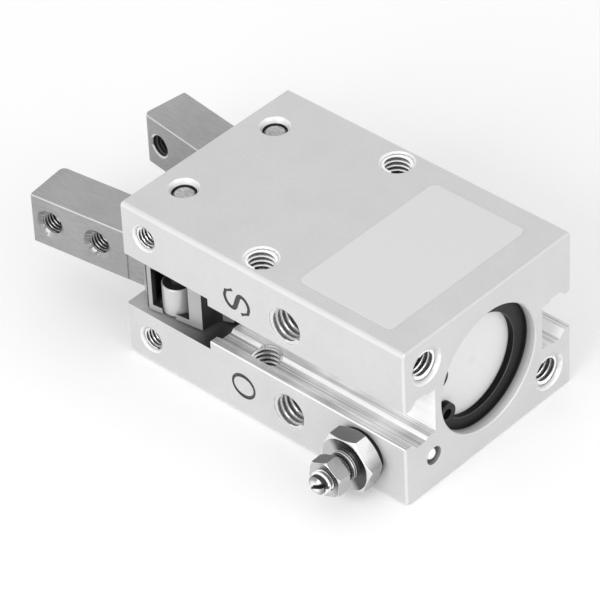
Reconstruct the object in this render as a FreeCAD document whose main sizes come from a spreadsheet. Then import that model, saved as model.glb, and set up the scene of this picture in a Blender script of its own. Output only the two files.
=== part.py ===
import FreeCAD, Part
import math
import os
import Sketcher
from FreeCAD import Vector, Rotation, Placement

# Angular gripper: fingers point to -X, the cap end is the plane x = 0, +Z is up, ports face -Y

doc = FreeCAD.newDocument("AngularGripper")
sheet = doc.addObject("Spreadsheet::Sheet", "sizes")

SIZES = {}
ROWS = []


class Size:
    """A value together with the spreadsheet expression that gives it."""

    def __init__(self, value, text):
        self.value = float(value)
        self.text = text

    @staticmethod
    def of(other):
        return other if isinstance(other, Size) else Size(other, repr(float(other)))

    def __add__(self, other):
        other = Size.of(other)
        return Size(self.value + other.value, "(%s + %s)" % (self.text, other.text))

    def __radd__(self, other):
        return Size.of(other) + self

    def __sub__(self, other):
        other = Size.of(other)
        return Size(self.value - other.value, "(%s - %s)" % (self.text, other.text))

    def __rsub__(self, other):
        return Size.of(other) - self

    def __mul__(self, other):
        other = Size.of(other)
        return Size(self.value * other.value, "(%s * %s)" % (self.text, other.text))

    def __rmul__(self, other):
        return Size.of(other) * self

    def __truediv__(self, other):
        other = Size.of(other)
        return Size(self.value / other.value, "(%s / %s)" % (self.text, other.text))

    def __neg__(self):
        return Size(-self.value, "(0 - %s)" % self.text)


def size(name, value, note):
    row = len(ROWS) + 1
    ROWS.append(name)
    sheet.set("A%d" % row, note)
    sheet.set("B%d" % row, str(value))
    sheet.setAlias("B%d" % row, name)
    return Size(value, "sizes.%s" % name)


def cosd(angle):
    return Size(math.cos(math.radians(angle.value)), "cos(%s * 1 deg)" % angle.text)


def sind(angle):
    return Size(math.sin(math.radians(angle.value)), "sin(%s * 1 deg)" % angle.text)


# Housing
body_length = size("body_length", 46.0, "housing length")
body_width = size("body_width", 30.6, "housing width")
body_height = size("body_height", 23.5, "housing height")
edge_round = size("edge_round", 0.6, "rounding of the long edges")
end_chamfer = size("end_chamfer", 0.25, "chamfer of the end faces")
slot_depth = size("slot_depth", 14.3, "depth of the finger slot from the front")
slot_height = size("slot_height", 7.9, "height of the finger slot")
core_wall = size("core_wall", 1.25, "wall between the rear recess and the side grooves")
groove_half = size("groove_half", 3.25, "half height of the side groove at the core")
groove_out_half = size("groove_out_half", 3.65, "half height of the groove behind the lip")
groove_flat = size("groove_flat", 1.35, "width of the groove floor strip beside the core")
lip_half = size("lip_half", 2.75, "half height between the groove lips")
lip_width = size("lip_width", 1.2, "width of the groove lip")
bore_radius = size("bore_radius", 8.0, "cylinder bore radius")
pilot_step = size("pilot_step", 0.6, "rear recess radius beyond the bore")
pilot_chamfer = size("pilot_chamfer", 0.15, "chamfer at the mouth of the recess")
pilot_length = size("pilot_length", 1.7, "recess depth to the retaining ring")
cap_seat = size("cap_seat", 5.6, "depth of the shoulder that the cap rests on")

# Holes of the housing
tap_four = size("tap_four", 1.65, "tap drill radius for M4")
sink_angle = size("sink_angle", 110.0, "full angle of the countersinks of the screw holes")
top_mouth = size("top_mouth", 0.65, "countersink of the M4 through holes")
top_hole_x = size("top_hole_x", 25.1, "M4 through holes from the rear face")
top_hole_edge = size("top_hole_edge", 3.0, "M4 through holes from the side")
rear_mouth = size("rear_mouth", 0.55, "countersink of the rear M4 holes")
rear_hole_edge = size("rear_hole_edge", 4.1, "rear M4 holes from the side")
rear_hole_z = size("rear_hole_z", 7.6, "rear M4 holes from the middle height")
rear_hole_depth = size("rear_hole_depth", 8.0, "rear M4 hole depth")
tap_three = size("tap_three", 1.25, "tap drill radius for M3")
jaw_mouth = size("jaw_mouth", 0.5, "countersink of the side M3 holes")
jaw_hole_front = size("jaw_hole_front", 3.9, "side M3 holes from the front face")
jaw_hole_z = size("jaw_hole_z", 7.95, "side M3 holes from the middle height")
jaw_hole_depth = size("jaw_hole_depth", 4.6, "side M3 hole depth")
tap_five = size("tap_five", 2.1, "tap drill radius for M5")
port_mouth = size("port_mouth", 0.45, "countersink of the ports")
port_x = size("port_x", 18.9, "ports from the rear face")
port_up = size("port_up", 6.3, "height of the upper port above the middle")
port_down = size("port_down", 7.0, "depth of the lower port below the middle")
port_depth = size("port_depth", 4.5, "port depth")
feed_radius = size("feed_radius", 0.8, "feed hole from the upper port to the bore")
passage_edge = size("passage_edge", 5.1, "air passage from the side")
passage_down = size("passage_down", 6.9, "air passage below the middle height")
passage_radius = size("passage_radius", 1.0, "air passage radius")
ball_radius = size("ball_radius", 1.25, "radius of the seat of the ball plug")
ball_depth = size("ball_depth", 2.6, "depth of the seat of the ball plug")
valve_x = size("valve_x", 7.0, "needle valve from the rear face")
valve_down = size("valve_down", 6.7, "needle valve below the middle height")
valve_radius = size("valve_radius", 2.6, "radius of the hole of the needle valve")
valve_depth = size("valve_depth", 4.2, "depth of the hole of the needle valve")
orifice_radius = size("orifice_radius", 0.6, "radius of the hole that the needle throttles")

# Fits
press_gap = size("press_gap", 0.01, "gap of a pressed pin or ring")
run_gap = size("run_gap", 0.03, "gap of a running fit")
thread_gap = size("thread_gap", 0.02, "gap of a screwed joint")
drive_gap = size("drive_gap", 0.05, "gap of the drive pins in their slots")
face_gap = size("face_gap", 0.02, "gap between faces that rest on each other")
stop_gap = size("stop_gap", 0.1, "gap to the bumpers at the ends of the stroke")
finger_play = size("finger_play", 0.25, "gap above and below the fingers in their slot")
rod_gap = size("rod_gap", 0.3, "gap of the rod in the front wall")

# Pivots, travel and fingers
pivot_front = size("pivot_front", 4.2, "finger pivots from the front face")
pivot_y = size("pivot_y", 8.2, "finger pivots from the middle")
pin_radius = size("pin_radius", 1.5, "pivot pin radius")
pin_recess = size("pin_recess", 0.8, "pivot pin end below the housing face")
pin_chamfer = size("pin_chamfer", 0.3, "chamfer of the pivot pins")
pin_mouth = size("pin_mouth", 0.5, "countersink of the pivot pin holes")
pin_relief = size("pin_relief", 0.1, "gap around the ends of the pivot pins")
rest_angle = size("rest_angle", 7.3, "opening angle of each finger as drawn")
open_angle = size("open_angle", 15.0, "opening angle of each finger at the front stop")
close_angle = size("close_angle", 5.0, "closing angle of each finger at the rear stop")
finger_length = size("finger_length", 22.4, "finger tip from the pivot")
finger_out = size("finger_out", 3.1, "outer face of the finger bar from the pivot")
finger_in = size("finger_in", 3.75, "inner face of the finger bar from the pivot")
bar_step = size("bar_step", 0.15, "step between the bar and its neck")
step_place = size("step_place", 7.4, "that step from the pivot")
inner_round = size("inner_round", 0.9, "rounding of the inner corner of the tip")
outer_round = size("outer_round", 0.35, "rounding of the outer corner of the tip")
bar_chamfer = size("bar_chamfer", 0.12, "chamfer along the bar")
jaw_tap_far = size("jaw_tap_far", 19.4, "outer M3 hole of the finger from the pivot")
jaw_tap_near = size("jaw_tap_near", 12.0, "inner M3 hole of the finger from the pivot")
outer_sink = size("outer_sink", 0.85, "countersink of those holes at the outer face")
inner_sink = size("inner_sink", 0.5, "countersink of those holes at the inner face")
hub_out = size("hub_out", 6.2, "outer face of the hub from the pivot")
hub_rear = size("hub_rear", 6.4, "rear end of the outer face of the hub from the pivot")
hub_tail = size("hub_tail", 2.4, "tail of the hub beyond its outer face")
flange = size("flange", 0.8, "thickness of the hub above and below its pocket")
pocket_long = size("pocket_long", 5.6, "length of the hub pocket")
pocket_front = size("pocket_front", 1.2, "front wall of the hub pocket from the pivot")
roller_radius = size("roller_radius", 2.0, "side roller radius")
roller_back = size("roller_back", 1.26, "side roller behind the pivot")
roller_out = size("roller_out", 4.14, "side roller outside the pivot")
roller_height = size("roller_height", 4.22, "side roller height")
roller_chamfer = size("roller_chamfer", 0.15, "chamfer of the side rollers")
roller_room = size("roller_room", 0.3, "gap around the side roller")
roller_pin_radius = size("roller_pin_radius", 0.8, "radius of the pin of the side roller")
arm_half = size("arm_half", 2.0, "half height of the inner arm of the finger")
arm_reach = size("arm_reach", 7.6, "end of the inner arm from the pivot")
drive_arm = size("drive_arm", 5.6, "drive pin inside the pivot")
drive_back = size("drive_back", 1.0, "drive pin behind the pivot at mid travel")
drive_radius = size("drive_radius", 1.5, "drive pin radius")
slot_foot = size("slot_foot", 1.9, "drive slot from the pin centre to its floor")

# Piston group
piston_length = size("piston_length", 9.8, "piston length")
piston_gap = size("piston_gap", 0.1, "gap of the piston in the bore")
rod_radius = size("rod_radius", 3.0, "piston rod radius")
spigot_radius = size("spigot_radius", 2.0, "radius of the threaded ends of the rod")
spigot_length = size("spigot_length", 2.2, "length of the front threaded end of the rod")
nut_radius = size("nut_radius", 3.6, "round nut radius")
nut_thick = size("nut_thick", 2.0, "round nut thickness")
nut_sink = size("nut_sink", 0.35, "round nut below the rear face of the piston")
nut_room = size("nut_room", 0.6, "gap around the round nut")
wear_back = size("wear_back", 1.6, "wear ring from the rear face of the piston")
wear_wide = size("wear_wide", 1.6, "wear ring groove width")
wear_deep = size("wear_deep", 0.7, "wear ring groove depth from the bore")
magnet_back = size("magnet_back", 4.0, "magnet from the rear face of the piston")
magnet_wide = size("magnet_wide", 2.4, "magnet groove width")
magnet_deep = size("magnet_deep", 1.4, "magnet groove depth from the bore")
magnet_gap = size("magnet_gap", 0.3, "gap of the magnet in the bore")
seal_back = size("seal_back", 7.0, "seal from the rear face of the piston")
seal_wide = size("seal_wide", 1.8, "seal groove width")
seal_deep = size("seal_deep", 1.6, "seal groove depth from the bore")
bush_wall = size("bush_wall", 2.0, "wall of the rod bush")
bush_length = size("bush_length", 3.85, "length of the rod bush")
lip_seal = size("lip_seal", 1.8, "length of the rod seal")
head_stop = size("head_stop", 1.53, "thickness of the front bumper")
cap_stop = size("cap_stop", 1.28, "thickness of the rear bumper")
stop_radius = size("stop_radius", 6.4, "outer radius of the bumpers")
cap_stop_hole = size("cap_stop_hole", 2.6, "hole radius of the rear bumper")
fork_reach = size("fork_reach", 4.4, "half width of the fork")
fork_nose = size("fork_nose", 2.0, "fork plates in front of the drive pins")
web_offset = size("web_offset", 3.8, "web of the fork behind the drive pins")
web_thick = size("web_thick", 2.62, "web of the fork")
fork_play = size("fork_play", 0.4, "gap between the fork plates and the finger arms")

# Cap, retaining ring and ball
ring_thick = size("ring_thick", 1.0, "retaining ring thickness")
ring_width = size("ring_width", 2.05, "mean width of the retaining ring")
ring_shift = size("ring_shift", 0.37, "hole of the retaining ring nearer to its gap")
ring_bite = size("ring_bite", 0.42, "retaining ring beyond the recess")
ring_gap_angle = size("ring_gap_angle", 191.0, "direction of the gap of the ring")
ring_gap_wide = size("ring_gap_wide", 5.4, "gap of the ring")
lug_angle = size("lug_angle", 26.0, "lugs of the ring from its gap")
lug_radius = size("lug_radius", 1.5, "lug radius")
lug_inset = size("lug_inset", 1.4, "lug centres inside the recess")
eye_radius = size("eye_radius", 0.75, "eye radius")
cap_gap = size("cap_gap", 0.05, "gap of the cap in the recess")
cap_groove_back = size("cap_groove_back", 0.85, "O-ring groove from the rear face of the cap")
cap_groove_wide = size("cap_groove_wide", 1.35, "O-ring groove width")
oring_radius = size("oring_radius", 0.59, "O-ring section radius")

# Needle valve
needle_radius = size("needle_radius", 1.5, "needle thread radius")
needle_out = size("needle_out", 7.9, "needle thread beyond the housing side")
needle_dome = size("needle_dome", 0.5, "rounded end of the needle")
needle_slot = size("needle_slot", 0.55, "width of the screwdriver slot")
slot_lean = size("slot_lean", 28.0, "lean of the screwdriver slot")
stem_radius = size("stem_radius", 0.9, "needle stem radius")
stem_length = size("stem_length", 3.0, "needle stem length")
point_length = size("point_length", 1.2, "needle point length")
gasket_thick = size("gasket_thick", 0.6, "gasket thickness")
gasket_radius = size("gasket_radius", 3.45, "gasket radius")
gland_across = size("gland_across", 7.3, "gland hexagon across the flats")
gland_thick = size("gland_thick", 2.55, "gland hexagon thickness")
gland_face = size("gland_face", 3.56, "radius of the round faces of the gland hexagon")
gland_crown = size("gland_crown", 0.38, "depth of the chamfer of the gland hexagon")
gland_turn = size("gland_turn", 8.0, "turn of the gland hexagon")
boss_radius = size("boss_radius", 1.95, "gland boss radius")
boss_length = size("boss_length", 0.68, "gland boss beyond the hexagon")
nut_across = size("nut_across", 4.65, "lock nut across the flats")
lock_thick = size("lock_thick", 2.05, "lock nut thickness")
lock_face = size("lock_face", 2.42, "radius of the round faces of the lock nut")
lock_crown = size("lock_crown", 0.27, "depth of the chamfer of the lock nut")
lock_place = size("lock_place", 4.72, "lock nut from the housing side")
lock_turn = size("lock_turn", 23.0, "turn of the lock nut")

# Type label
label_length = size("label_length", 14.7, "label length")
label_width = size("label_width", 24.65, "label width")
label_rear = size("label_rear", 4.1, "label from the rear face")
label_shift = size("label_shift", 0.425, "label centre toward the port side")
label_thick = size("label_thick", 0.08, "label thickness")
label_round = size("label_round", 1.0, "label corner rounding")

half_width = body_width / 2
half_height = body_height / 2
half_slot = slot_height / 2
half_finger = half_slot - finger_play
finger_height = half_finger * 2
pocket_half = half_finger - flange
pilot_radius = bore_radius + pilot_step
core_half = pilot_radius + core_wall
slot_floor = body_length - slot_depth
pivot_x = body_length - pivot_front
to_radians = math.pi / 180
mid_angle = (open_angle - close_angle) / 2
drive_rest = pivot_x - drive_back + drive_arm * ((rest_angle - mid_angle) * to_radians)
piston_back = cap_seat + cap_stop + stop_gap + drive_arm * ((rest_angle + close_angle) * to_radians)
piston_front = piston_back + piston_length
chamber_end = piston_front + drive_arm * ((open_angle - rest_angle) * to_radians) + stop_gap + head_stop
gland_radius = rod_radius + bush_wall
gland_end = chamber_end + bush_length + lip_seal + face_gap * 3
web_front = drive_rest - web_offset
web_rear = web_front - web_thick
doc.recompute()


def bind(obj, path, value):
    """Sets a property by an expression of the sheet."""
    obj.setExpression(path, Size.of(value).text)


def place(obj, x, y, z, axis=None, angle=None):
    """Places a feature: position bound to the sheet, turn about a fixed axis."""
    x, y, z = Size.of(x), Size.of(y), Size.of(z)
    turn = Rotation(Vector(*axis), Size.of(angle).value) if axis else Rotation()
    obj.Placement = Placement(Vector(x.value, y.value, z.value), turn)
    bind(obj, "Placement.Base.x", x)
    bind(obj, "Placement.Base.y", y)
    bind(obj, "Placement.Base.z", z)
    if axis and isinstance(angle, Size):
        obj.setExpression("Placement.Rotation.Angle", "%s * 1 deg" % angle.text)


TURNS = {
    "z": (None, None),
    "-z": ((1, 0, 0), 180),
    "x": ((0, 1, 0), 90),
    "-x": ((0, 1, 0), -90),
    "y": ((1, 0, 0), -90),
    "-y": ((1, 0, 0), 90),
}


def new_body(label):
    body = doc.addObject("PartDesign::Body", label)
    body.Label = label
    return body


def cylinder(body, name, radius, height, at, toward="z", cut=False):
    """A cylinder feature that starts at a point and runs toward an axis direction."""
    kind = "PartDesign::SubtractiveCylinder" if cut else "PartDesign::AdditiveCylinder"
    obj = body.newObject(kind, name)
    bind(obj, "Radius", radius)
    bind(obj, "Height", height)
    axis, angle = TURNS[toward]
    place(obj, *at, axis=axis, angle=angle)
    body.Tip = obj
    return obj


def cone(body, name, radius_one, radius_two, height, at, toward="z", cut=False):
    """A cone feature from its first to its second radius."""
    kind = "PartDesign::SubtractiveCone" if cut else "PartDesign::AdditiveCone"
    obj = body.newObject(kind, name)
    bind(obj, "Radius1", radius_one)
    bind(obj, "Radius2", radius_two)
    bind(obj, "Height", height)
    axis, angle = TURNS[toward]
    place(obj, *at, axis=axis, angle=angle)
    body.Tip = obj
    return obj


def box(body, name, lengths, at, cut=False, axis=None, angle=None):
    """A box feature given by its three lengths and its lowest corner."""
    kind = "PartDesign::SubtractiveBox" if cut else "PartDesign::AdditiveBox"
    obj = body.newObject(kind, name)
    for prop, value in zip(("Length", "Width", "Height"), lengths):
        bind(obj, prop, value)
    place(obj, *at, axis=axis, angle=angle)
    body.Tip = obj
    return obj


def mouth(body, name, radius, sink, at, toward):
    """The countersink of a screw hole, which widens its radius at the face."""
    half = sink_angle / 2
    cone(body, name, radius + sink, radius, sink * cosd(half) / sind(half), at, toward, cut=True)


def tapped(body, name, radius, depth, sink, at, toward):
    """A tap drill hole with a conical mouth, cut from the face inward."""
    cylinder(body, name, radius, depth, at, toward, cut=True)
    mouth(body, name + "_mouth", radius, sink, at, toward)


def profile(body, name, points, base, axis=None, angle=0):
    """A closed sketch whose corners are bound to the sheet."""
    sketch = body.newObject("Sketcher::SketchObject", name)
    turn = Rotation(Vector(*axis), angle) if axis else Rotation()
    base = [Size.of(v) for v in base]
    sketch.Placement = Placement(Vector(*[v.value for v in base]), turn)
    for key, v in zip("xyz", base):
        bind(sketch, "Placement.Base.%s" % key, v)
    points = [(Size.of(u), Size.of(v)) for u, v in points]
    count = len(points)
    for i in range(count):
        a, b = points[i], points[(i + 1) % count]
        line = Part.LineSegment(Vector(a[0].value, a[1].value, 0), Vector(b[0].value, b[1].value, 0))
        sketch.addGeometry(line, False)
    for i in range(count):
        sketch.addConstraint(Sketcher.Constraint("Coincident", i, 2, (i + 1) % count, 1))
    for i, (u, v) in enumerate(points):
        for kind, value in (("DistanceX", u), ("DistanceY", v)):
            index = sketch.addConstraint(Sketcher.Constraint(kind, -1, 1, i, 1, value.value))
            sketch.setExpression("Constraints[%d]" % index, value.text)
    return sketch


def pad(body, name, sketch, length):
    obj = body.newObject("PartDesign::Pad", name)
    obj.Profile = sketch
    bind(obj, "Length", length)
    body.Tip = obj
    return obj


def near(a, b):
    return abs(a - b) < 0.001


def edges_at(feature, test, along):
    """Names of the edges whose ends both pass a test and differ along an axis."""
    found = []
    for i, edge in enumerate(feature.Shape.Edges, 1):
        ends = [v.Point for v in edge.Vertexes]
        if len(ends) == 2 and all(test(p) for p in ends):
            if not near(getattr(ends[0], along), getattr(ends[1], along)):
                found.append("Edge%d" % i)
    return found


def dress(body, kind, name, feature, edges, amount):
    """A fillet or chamfer of some edges of a feature."""
    obj = body.newObject("PartDesign::" + kind, name)
    obj.Base = (feature, edges)
    bind(obj, "Radius" if kind == "Fillet" else "Size", amount)
    body.Tip = obj
    return obj


# Housing: extruded block, finger slot, stepped bore and holes
housing = new_body("body_housing")
groove_step = groove_out_half - groove_half
ramp_in = core_half + groove_flat
lip_in = half_width - lip_width - (groove_out_half - lip_half)
far_side = [
    (half_width, half_height), (half_width, lip_half), (half_width - lip_width, lip_half),
    (lip_in, groove_out_half), (ramp_in + groove_step, groove_out_half), (ramp_in, groove_half),
    (core_half, groove_half), (core_half, -groove_half), (ramp_in, -groove_half),
    (ramp_in + groove_step, -groove_out_half), (lip_in, -groove_out_half),
    (half_width - lip_width, -lip_half), (half_width, -lip_half), (half_width, -half_height),
]
near_side = [(-u, v) for u, v in reversed(far_side)]
outline = profile(housing, "housing_profile", far_side + near_side, (-body_length, 0, 0), (1, 1, 1), 120)
block = pad(housing, "housing_block", outline, body_length)
doc.recompute()


def on_long_edge(p):
    return near(abs(p.y), half_width.value) and near(abs(p.z), half_height.value)


rounded = dress(housing, "Fillet", "long_edges", block, edges_at(block, on_long_edge, "x"), edge_round)
doc.recompute()


def end_rim(shape):
    """Edges around the two end faces, without those of the grooves."""
    found = []
    for i, edge in enumerate(shape.Edges, 1):
        ends = [v.Point for v in edge.Vertexes]
        rear = all(near(p.x, 0) for p in ends)
        front = all(near(p.x, -body_length.value) for p in ends)
        low = half_width.value - edge_round.value - 0.001
        high = half_height.value - edge_round.value - 0.001
        outer = all(abs(p.z) > high for p in ends) or all(abs(p.y) > low for p in ends)
        long_enough = edge.Length > 1.5 * lip_width.value or abs(ends[0].z) > high
        if (rear or front) and outer and long_enough:
            found.append("Edge%d" % i)
    return found


dress(housing, "Chamfer", "end_edges", rounded, end_rim(rounded.Shape), end_chamfer)
box(housing, "finger_slot", (slot_depth + 2, body_width + 4, slot_height),
    (-body_length - 2, -half_width - 2, -half_slot), cut=True)
cylinder(housing, "rear_recess", pilot_radius, cap_seat + 1, (1, 0, 0), "-x", cut=True)
cone(housing, "recess_mouth", pilot_radius + pilot_chamfer, pilot_radius, pilot_chamfer,
     (0, 0, 0), "-x", cut=True)
cylinder(housing, "ring_groove", pilot_radius + ring_bite + run_gap * 2, ring_thick + run_gap * 2,
         (-pilot_length + run_gap, 0, 0), "-x", cut=True)
cylinder(housing, "bore", bore_radius, chamber_end + 1, (1, 0, 0), "-x", cut=True)
cylinder(housing, "bush_pocket", gland_radius, gland_end + 1, (1, 0, 0), "-x", cut=True)
cylinder(housing, "rod_hole", rod_radius + rod_gap, body_length, (0, 0, 0), "-x", cut=True)
for side, sign in (("left", -1), ("right", 1)):
    y = pivot_y * sign
    cylinder(housing, side + "_pin_hole", pin_radius + press_gap, body_height + 2,
             (-pivot_x, y, half_height + 1), "-z", cut=True)
    for end, toward, z in (("top", "-z", half_height), ("bottom", "z", -half_height)):
        cylinder(housing, "%s_pin_%s" % (side, end), pin_radius + pin_relief, pin_recess + pin_mouth,
                 (-pivot_x, y, z), toward, cut=True)
        cone(housing, "%s_pin_%s_mouth" % (side, end), pin_radius + pin_mouth, pin_radius + pin_relief,
             pin_mouth, (-pivot_x, y, z), toward, cut=True)
    y = (half_width - top_hole_edge) * sign
    tapped(housing, side + "_through", tap_four, body_height, top_mouth, (-top_hole_x, y, half_height), "-z")
    mouth(housing, side + "_through_bottom", tap_four, top_mouth, (-top_hole_x, y, -half_height), "z")
    tapped(housing, side + "_rear_hole", tap_four, rear_hole_depth, rear_mouth,
           (0, (half_width - rear_hole_edge) * sign, rear_hole_z * -sign), "-x")
    for level, up in (("upper", 1), ("lower", -1)):
        tapped(housing, "%s_%s_jaw_hole" % (side, level), tap_three, jaw_hole_depth, jaw_mouth,
               (jaw_hole_front - body_length, half_width * sign, jaw_hole_z * up), "y" if sign < 0 else "-y")
tapped(housing, "upper_port", tap_five, port_depth, port_mouth, (-port_x, -half_width, port_up), "y")
tapped(housing, "lower_port", tap_five, port_depth, port_mouth, (-port_x, -half_width, -port_down), "y")
cylinder(housing, "upper_feed", feed_radius, half_width - port_depth, (-port_x, -half_width + 1, port_up),
         "y", cut=True)
passage_y = half_width - passage_edge
cylinder(housing, "ball_seat", ball_radius, ball_depth, (0, -passage_y, -passage_down), "-x", cut=True)
cylinder(housing, "air_passage", passage_radius, port_x + 1, (0, -passage_y, -passage_down), "-x", cut=True)
cylinder(housing, "valve_hole", valve_radius, valve_depth, (-valve_x, -half_width, -valve_down), "y", cut=True)
cylinder(housing, "valve_seat", orifice_radius, half_width - valve_depth,
         (-valve_x, -half_width + 0.5, -valve_down), "y", cut=True)


def turned_ring(label, inner, outer, rear, length):
    """A plain ring about the cylinder axis, its rear face at a depth."""
    body = new_body(label)
    cylinder(body, label + "_disc", outer, length, (-rear, 0, 0), "-x")
    cylinder(body, label + "_hole", inner, length + 2, (-rear + 1, 0, 0), "-x", cut=True)
    return body


def less(label, base, tool):
    """A piece with a tool body cut away."""
    made = doc.addObject("Part::Cut", label)
    made.Base = base
    made.Tool = tool
    made.Label = label
    return made


# Cap with its O-ring, and the ring that retains it
cap = new_body("cap_blank")
cap_rear = pilot_length + ring_thick + face_gap
cylinder(cap, "cap_disc", pilot_radius - cap_gap, cap_seat - cap_rear - face_gap, (-cap_rear, 0, 0), "-x")
groove_floor = pilot_radius - oring_radius * 2 - run_gap * 2
cap_tool = turned_ring("cap_groove", groove_floor, pilot_radius + 1, cap_rear + cap_groove_back, cap_groove_wide)
less("end_cap", cap, cap_tool)

oring = doc.addObject("Part::Torus", "cap_oring")
bind(oring, "Radius1", pilot_radius - oring_radius - run_gap)
bind(oring, "Radius2", oring_radius)
place(oring, -(cap_rear + cap_groove_back + cap_groove_wide / 2), 0, 0, (0, 1, 0), 90)

ring = new_body("retaining_ring")
cylinder(ring, "ring_disc", pilot_radius + ring_bite, ring_thick, (-pilot_length, 0, 0), "-x")
cylinder(ring, "ring_hole", pilot_radius + ring_bite - ring_width, ring_thick + 2,
         (-pilot_length + 1, ring_shift * cosd(ring_gap_angle), ring_shift * sind(ring_gap_angle)),
         "-x", cut=True)
aside = ring_gap_wide / 2
box(ring, "ring_gap", (ring_thick + 2, pilot_radius * 2, ring_gap_wide),
    (-pilot_length - ring_thick - 1, aside * sind(ring_gap_angle), -aside * cosd(ring_gap_angle)),
    cut=True, axis=(1, 0, 0), angle=ring_gap_angle)
lug_reach = pilot_radius - lug_inset
for name, turn in (("lower_lug", ring_gap_angle + lug_angle), ("upper_lug", ring_gap_angle - lug_angle)):
    y, z = lug_reach * cosd(turn), lug_reach * sind(turn)
    cylinder(ring, name, lug_radius, ring_thick, (-pilot_length, y, z), "-x")
    cylinder(ring, name + "_eye", eye_radius, ring_thick + 2, (-pilot_length + 1, y, z), "-x", cut=True)

# Pivot pins and ball plug
for side, sign in (("left", -1), ("right", 1)):
    pin = new_body(side + "_pivot_pin")
    y = pivot_y * sign
    end = half_height - pin_recess - pin_chamfer
    cylinder(pin, side + "_pivot_shank", pin_radius, end * 2, (-pivot_x, y, -end))
    cone(pin, side + "_pivot_top", pin_radius, pin_radius - pin_chamfer, pin_chamfer, (-pivot_x, y, end))
    cone(pin, side + "_pivot_foot", pin_radius, pin_radius - pin_chamfer, pin_chamfer,
         (-pivot_x, y, -end), "-z")

ball = doc.addObject("Part::Sphere", "ball_plug")
bind(ball, "Radius", ball_radius - press_gap)
place(ball, -ball_depth + ball_radius, -passage_y, -passage_down)

# Fingers: drawn from the pivot, u toward the rear, v toward the other finger
slot_u = drive_back * cosd(mid_angle) + drive_arm * sind(mid_angle)
slot_v = drive_arm * cosd(mid_angle) - drive_back * sind(mid_angle)
lean, rise = sind(mid_angle), cosd(mid_angle)
slot_half = drive_radius + drive_gap
slot_top = arm_reach + slot_half * 2 - slot_v
# The slot sits back by the mean sagitta of the swing, so that the gap stays even
sagitta = drive_arm * (open_angle + close_angle) * to_radians * (open_angle + close_angle) * to_radians / 54
hub_plan = [
    (-finger_length, -finger_out), (-step_place, -finger_out), (-step_place, -finger_out + bar_step),
    (-5.0, -finger_out + bar_step), (-2.3, -hub_out + 0.35), (-1.8, -hub_out), (hub_rear, -hub_out),
    (hub_rear + hub_tail / 6, -4.2), (hub_rear + hub_tail * 0.4, -3.3), (hub_rear + hub_tail, -2.9),
    (hub_rear + hub_tail, 0.4), (4.0, 2.4), (-4.6, 2.4), (-4.6, finger_in), (-finger_length, finger_in),
]
arm_plan = [
    (-1.6, 2.2), (4.5, 2.2), (4.5, arm_reach - 0.7), (3.9, arm_reach - 0.5), (-1.3, arm_reach),
    (-1.6, arm_reach - 0.3),
]
slot_plan = [
    (slot_u - sagitta + rise * across + lean * along, slot_v - lean * across + rise * along)
    for across, along in ((-slot_half, -slot_foot), (slot_half, -slot_foot), (slot_half, slot_top),
                          (-slot_half, slot_top))
]


def at_tip(v):
    return lambda p: near(p.x, -finger_length.value) and near(p.y, v.value)


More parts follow.
